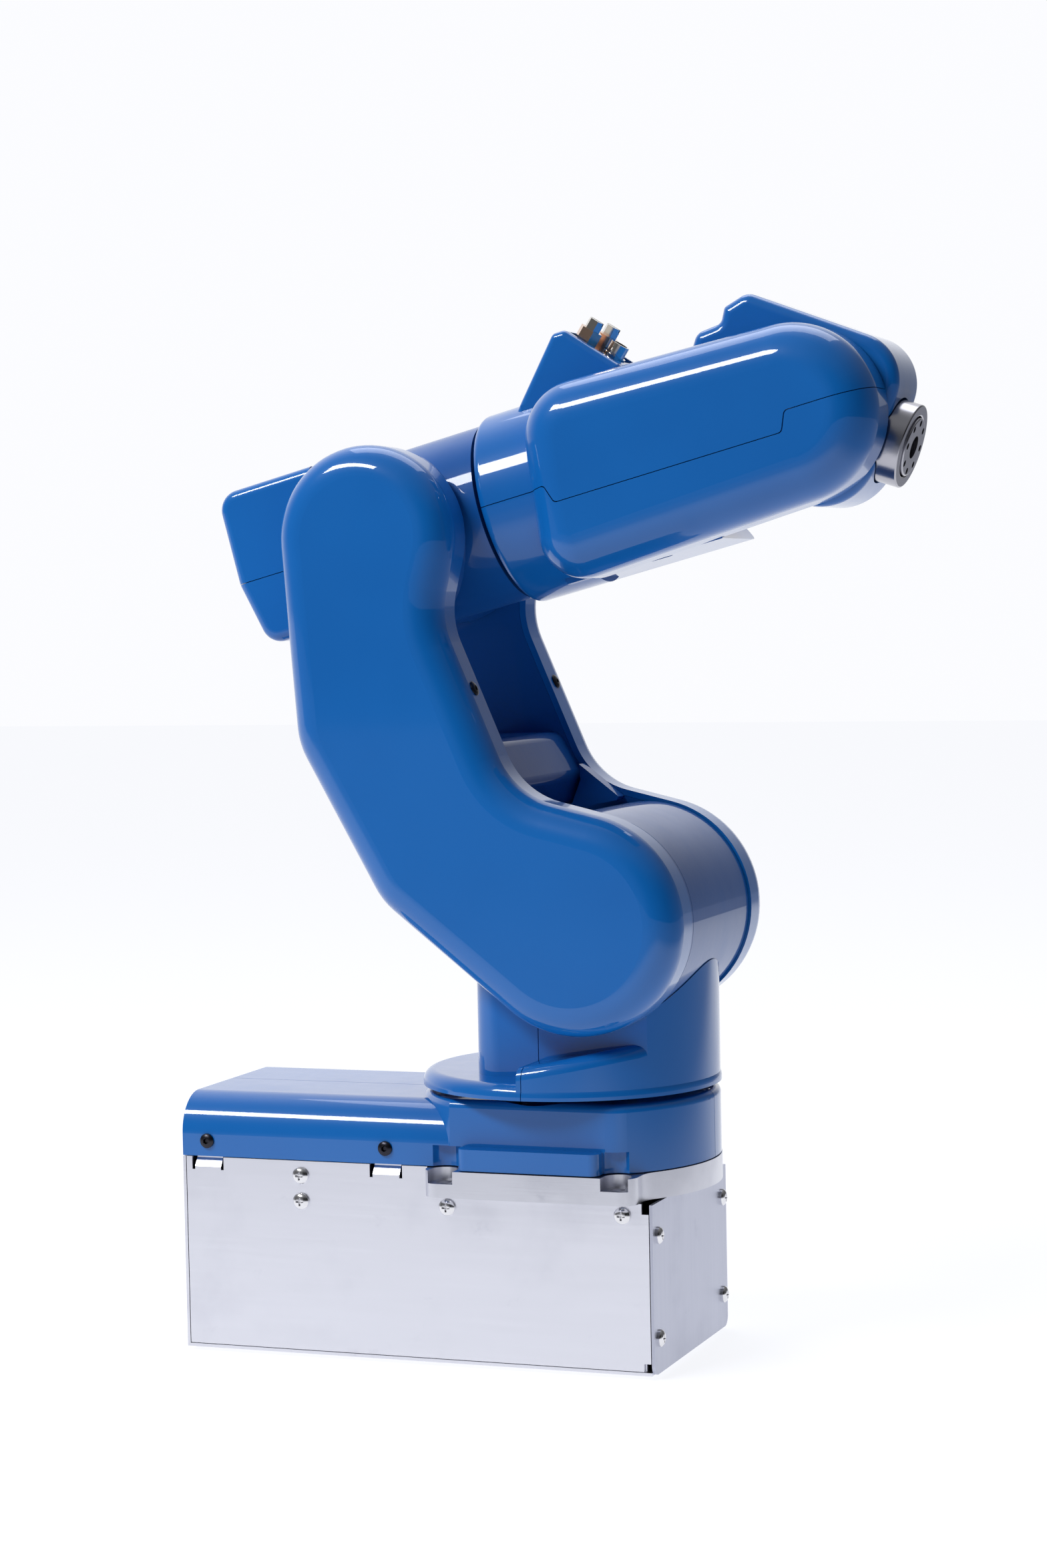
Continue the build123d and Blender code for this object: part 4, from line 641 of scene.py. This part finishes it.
@dataclass
class BaseBox:
    """Bare metal box under the arm, with its screws; sizes in metres."""

    rear: float = -145.0 * MM
    front: float = 46.7 * MM
    half_width: float = 46.0 * MM
    depth: float = 64.5 * MM
    panel_seats: Spots = ((-95.0, 4.5), (-95.0, -5.4), (-34.7, -5.0), (35.0, -5.0))
    end_seats: Spots = ((40.0, -51.28), (40.0, -12.77))
    cover_seats: Spots = ((-134.4, 16.4), (-59.6, 16.4))

    def side_seats(self, spots: Spots) -> list[Seat]:
        """Seats at the given x and z, in millimetres, on both sides of the box."""
        return [Seat((x * MM, side * self.half_width, z * MM), (0.0, side, 0.0))
                for side in (-1, 1) for x, z in spots]

    def build(self, wardrobe: Wardrobe) -> None:
        """Puts the detailed screws on the box and its covers."""
        sides = self.side_seats(self.panel_seats)
        ends = [Seat((x, side * y * MM, z * MM), (out, 0.0, 0.0))
                for x, out in ((self.front, 1.0), (self.rear, -1.0))
                for side in (-1, 1) for y, z in self.end_seats]
        ScrewSet("box_screw_heads", "base", "box_screws", sides + ends, radius=3.2 * MM,
                 height=1.95 * MM, recess=Recess.CROSS, finish=BRIGHT).build(wardrobe)
        covers = self.side_seats(self.cover_seats)
        ScrewSet("cover_screw_heads", "base", "cover_screws", covers, radius=2.8 * MM,
                 height=1.55 * MM, recess=Recess.HEX, finish=BLACKED).build(wardrobe)


@dataclass
class LowerArm:
    """Screws on the front edges of the two arm shells; sizes in metres."""

    screw_x: float = -20.14 * MM
    screw_z: float = 190.51 * MM
    screw_half: float = 44.5 * MM
    outward_angle: float = 22.88

    def build(self, wardrobe: Wardrobe) -> None:
        """Puts a blacked screw on each shell."""
        turn = math.radians(self.outward_angle)
        outward = (math.cos(turn), 0.0, math.sin(turn))
        seats = [Seat((self.screw_x, side * self.screw_half, self.screw_z), outward) for side in (-1, 1)]
        ScrewSet("arm_screw_heads", "lower_arm", "arm_screws", seats, radius=2.8 * MM,
                 height=0.98 * MM, recess=Recess.HEX, finish=BLACKED).build(wardrobe)


class Arm:
    """The whole arm: dresses every CAD node."""

    def __init__(self, wardrobe: Wardrobe) -> None:
        """Keeps the wardrobe."""
        self.wardrobe = wardrobe

    def dress_nodes(self) -> None:
        """Gives each CAD node its finish."""
        for name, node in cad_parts.items():
            self.wardrobe.dress(node, NODE_FINISHES[name])
            LOG.info("dressed %s", name)


def main() -> None:
    """Builds the arm's looks and the studio in order."""
    logging.basicConfig(level=logging.INFO, format="%(message)s")
    wardrobe = Wardrobe()
    Arm(wardrobe).dress_nodes()
    BaseBox().build(wardrobe)
    LowerArm().build(wardrobe)
    studio = Studio()
    studio.camera()
    studio.lights()
    studio.floor()


if __name__ == "__main__":
    main()
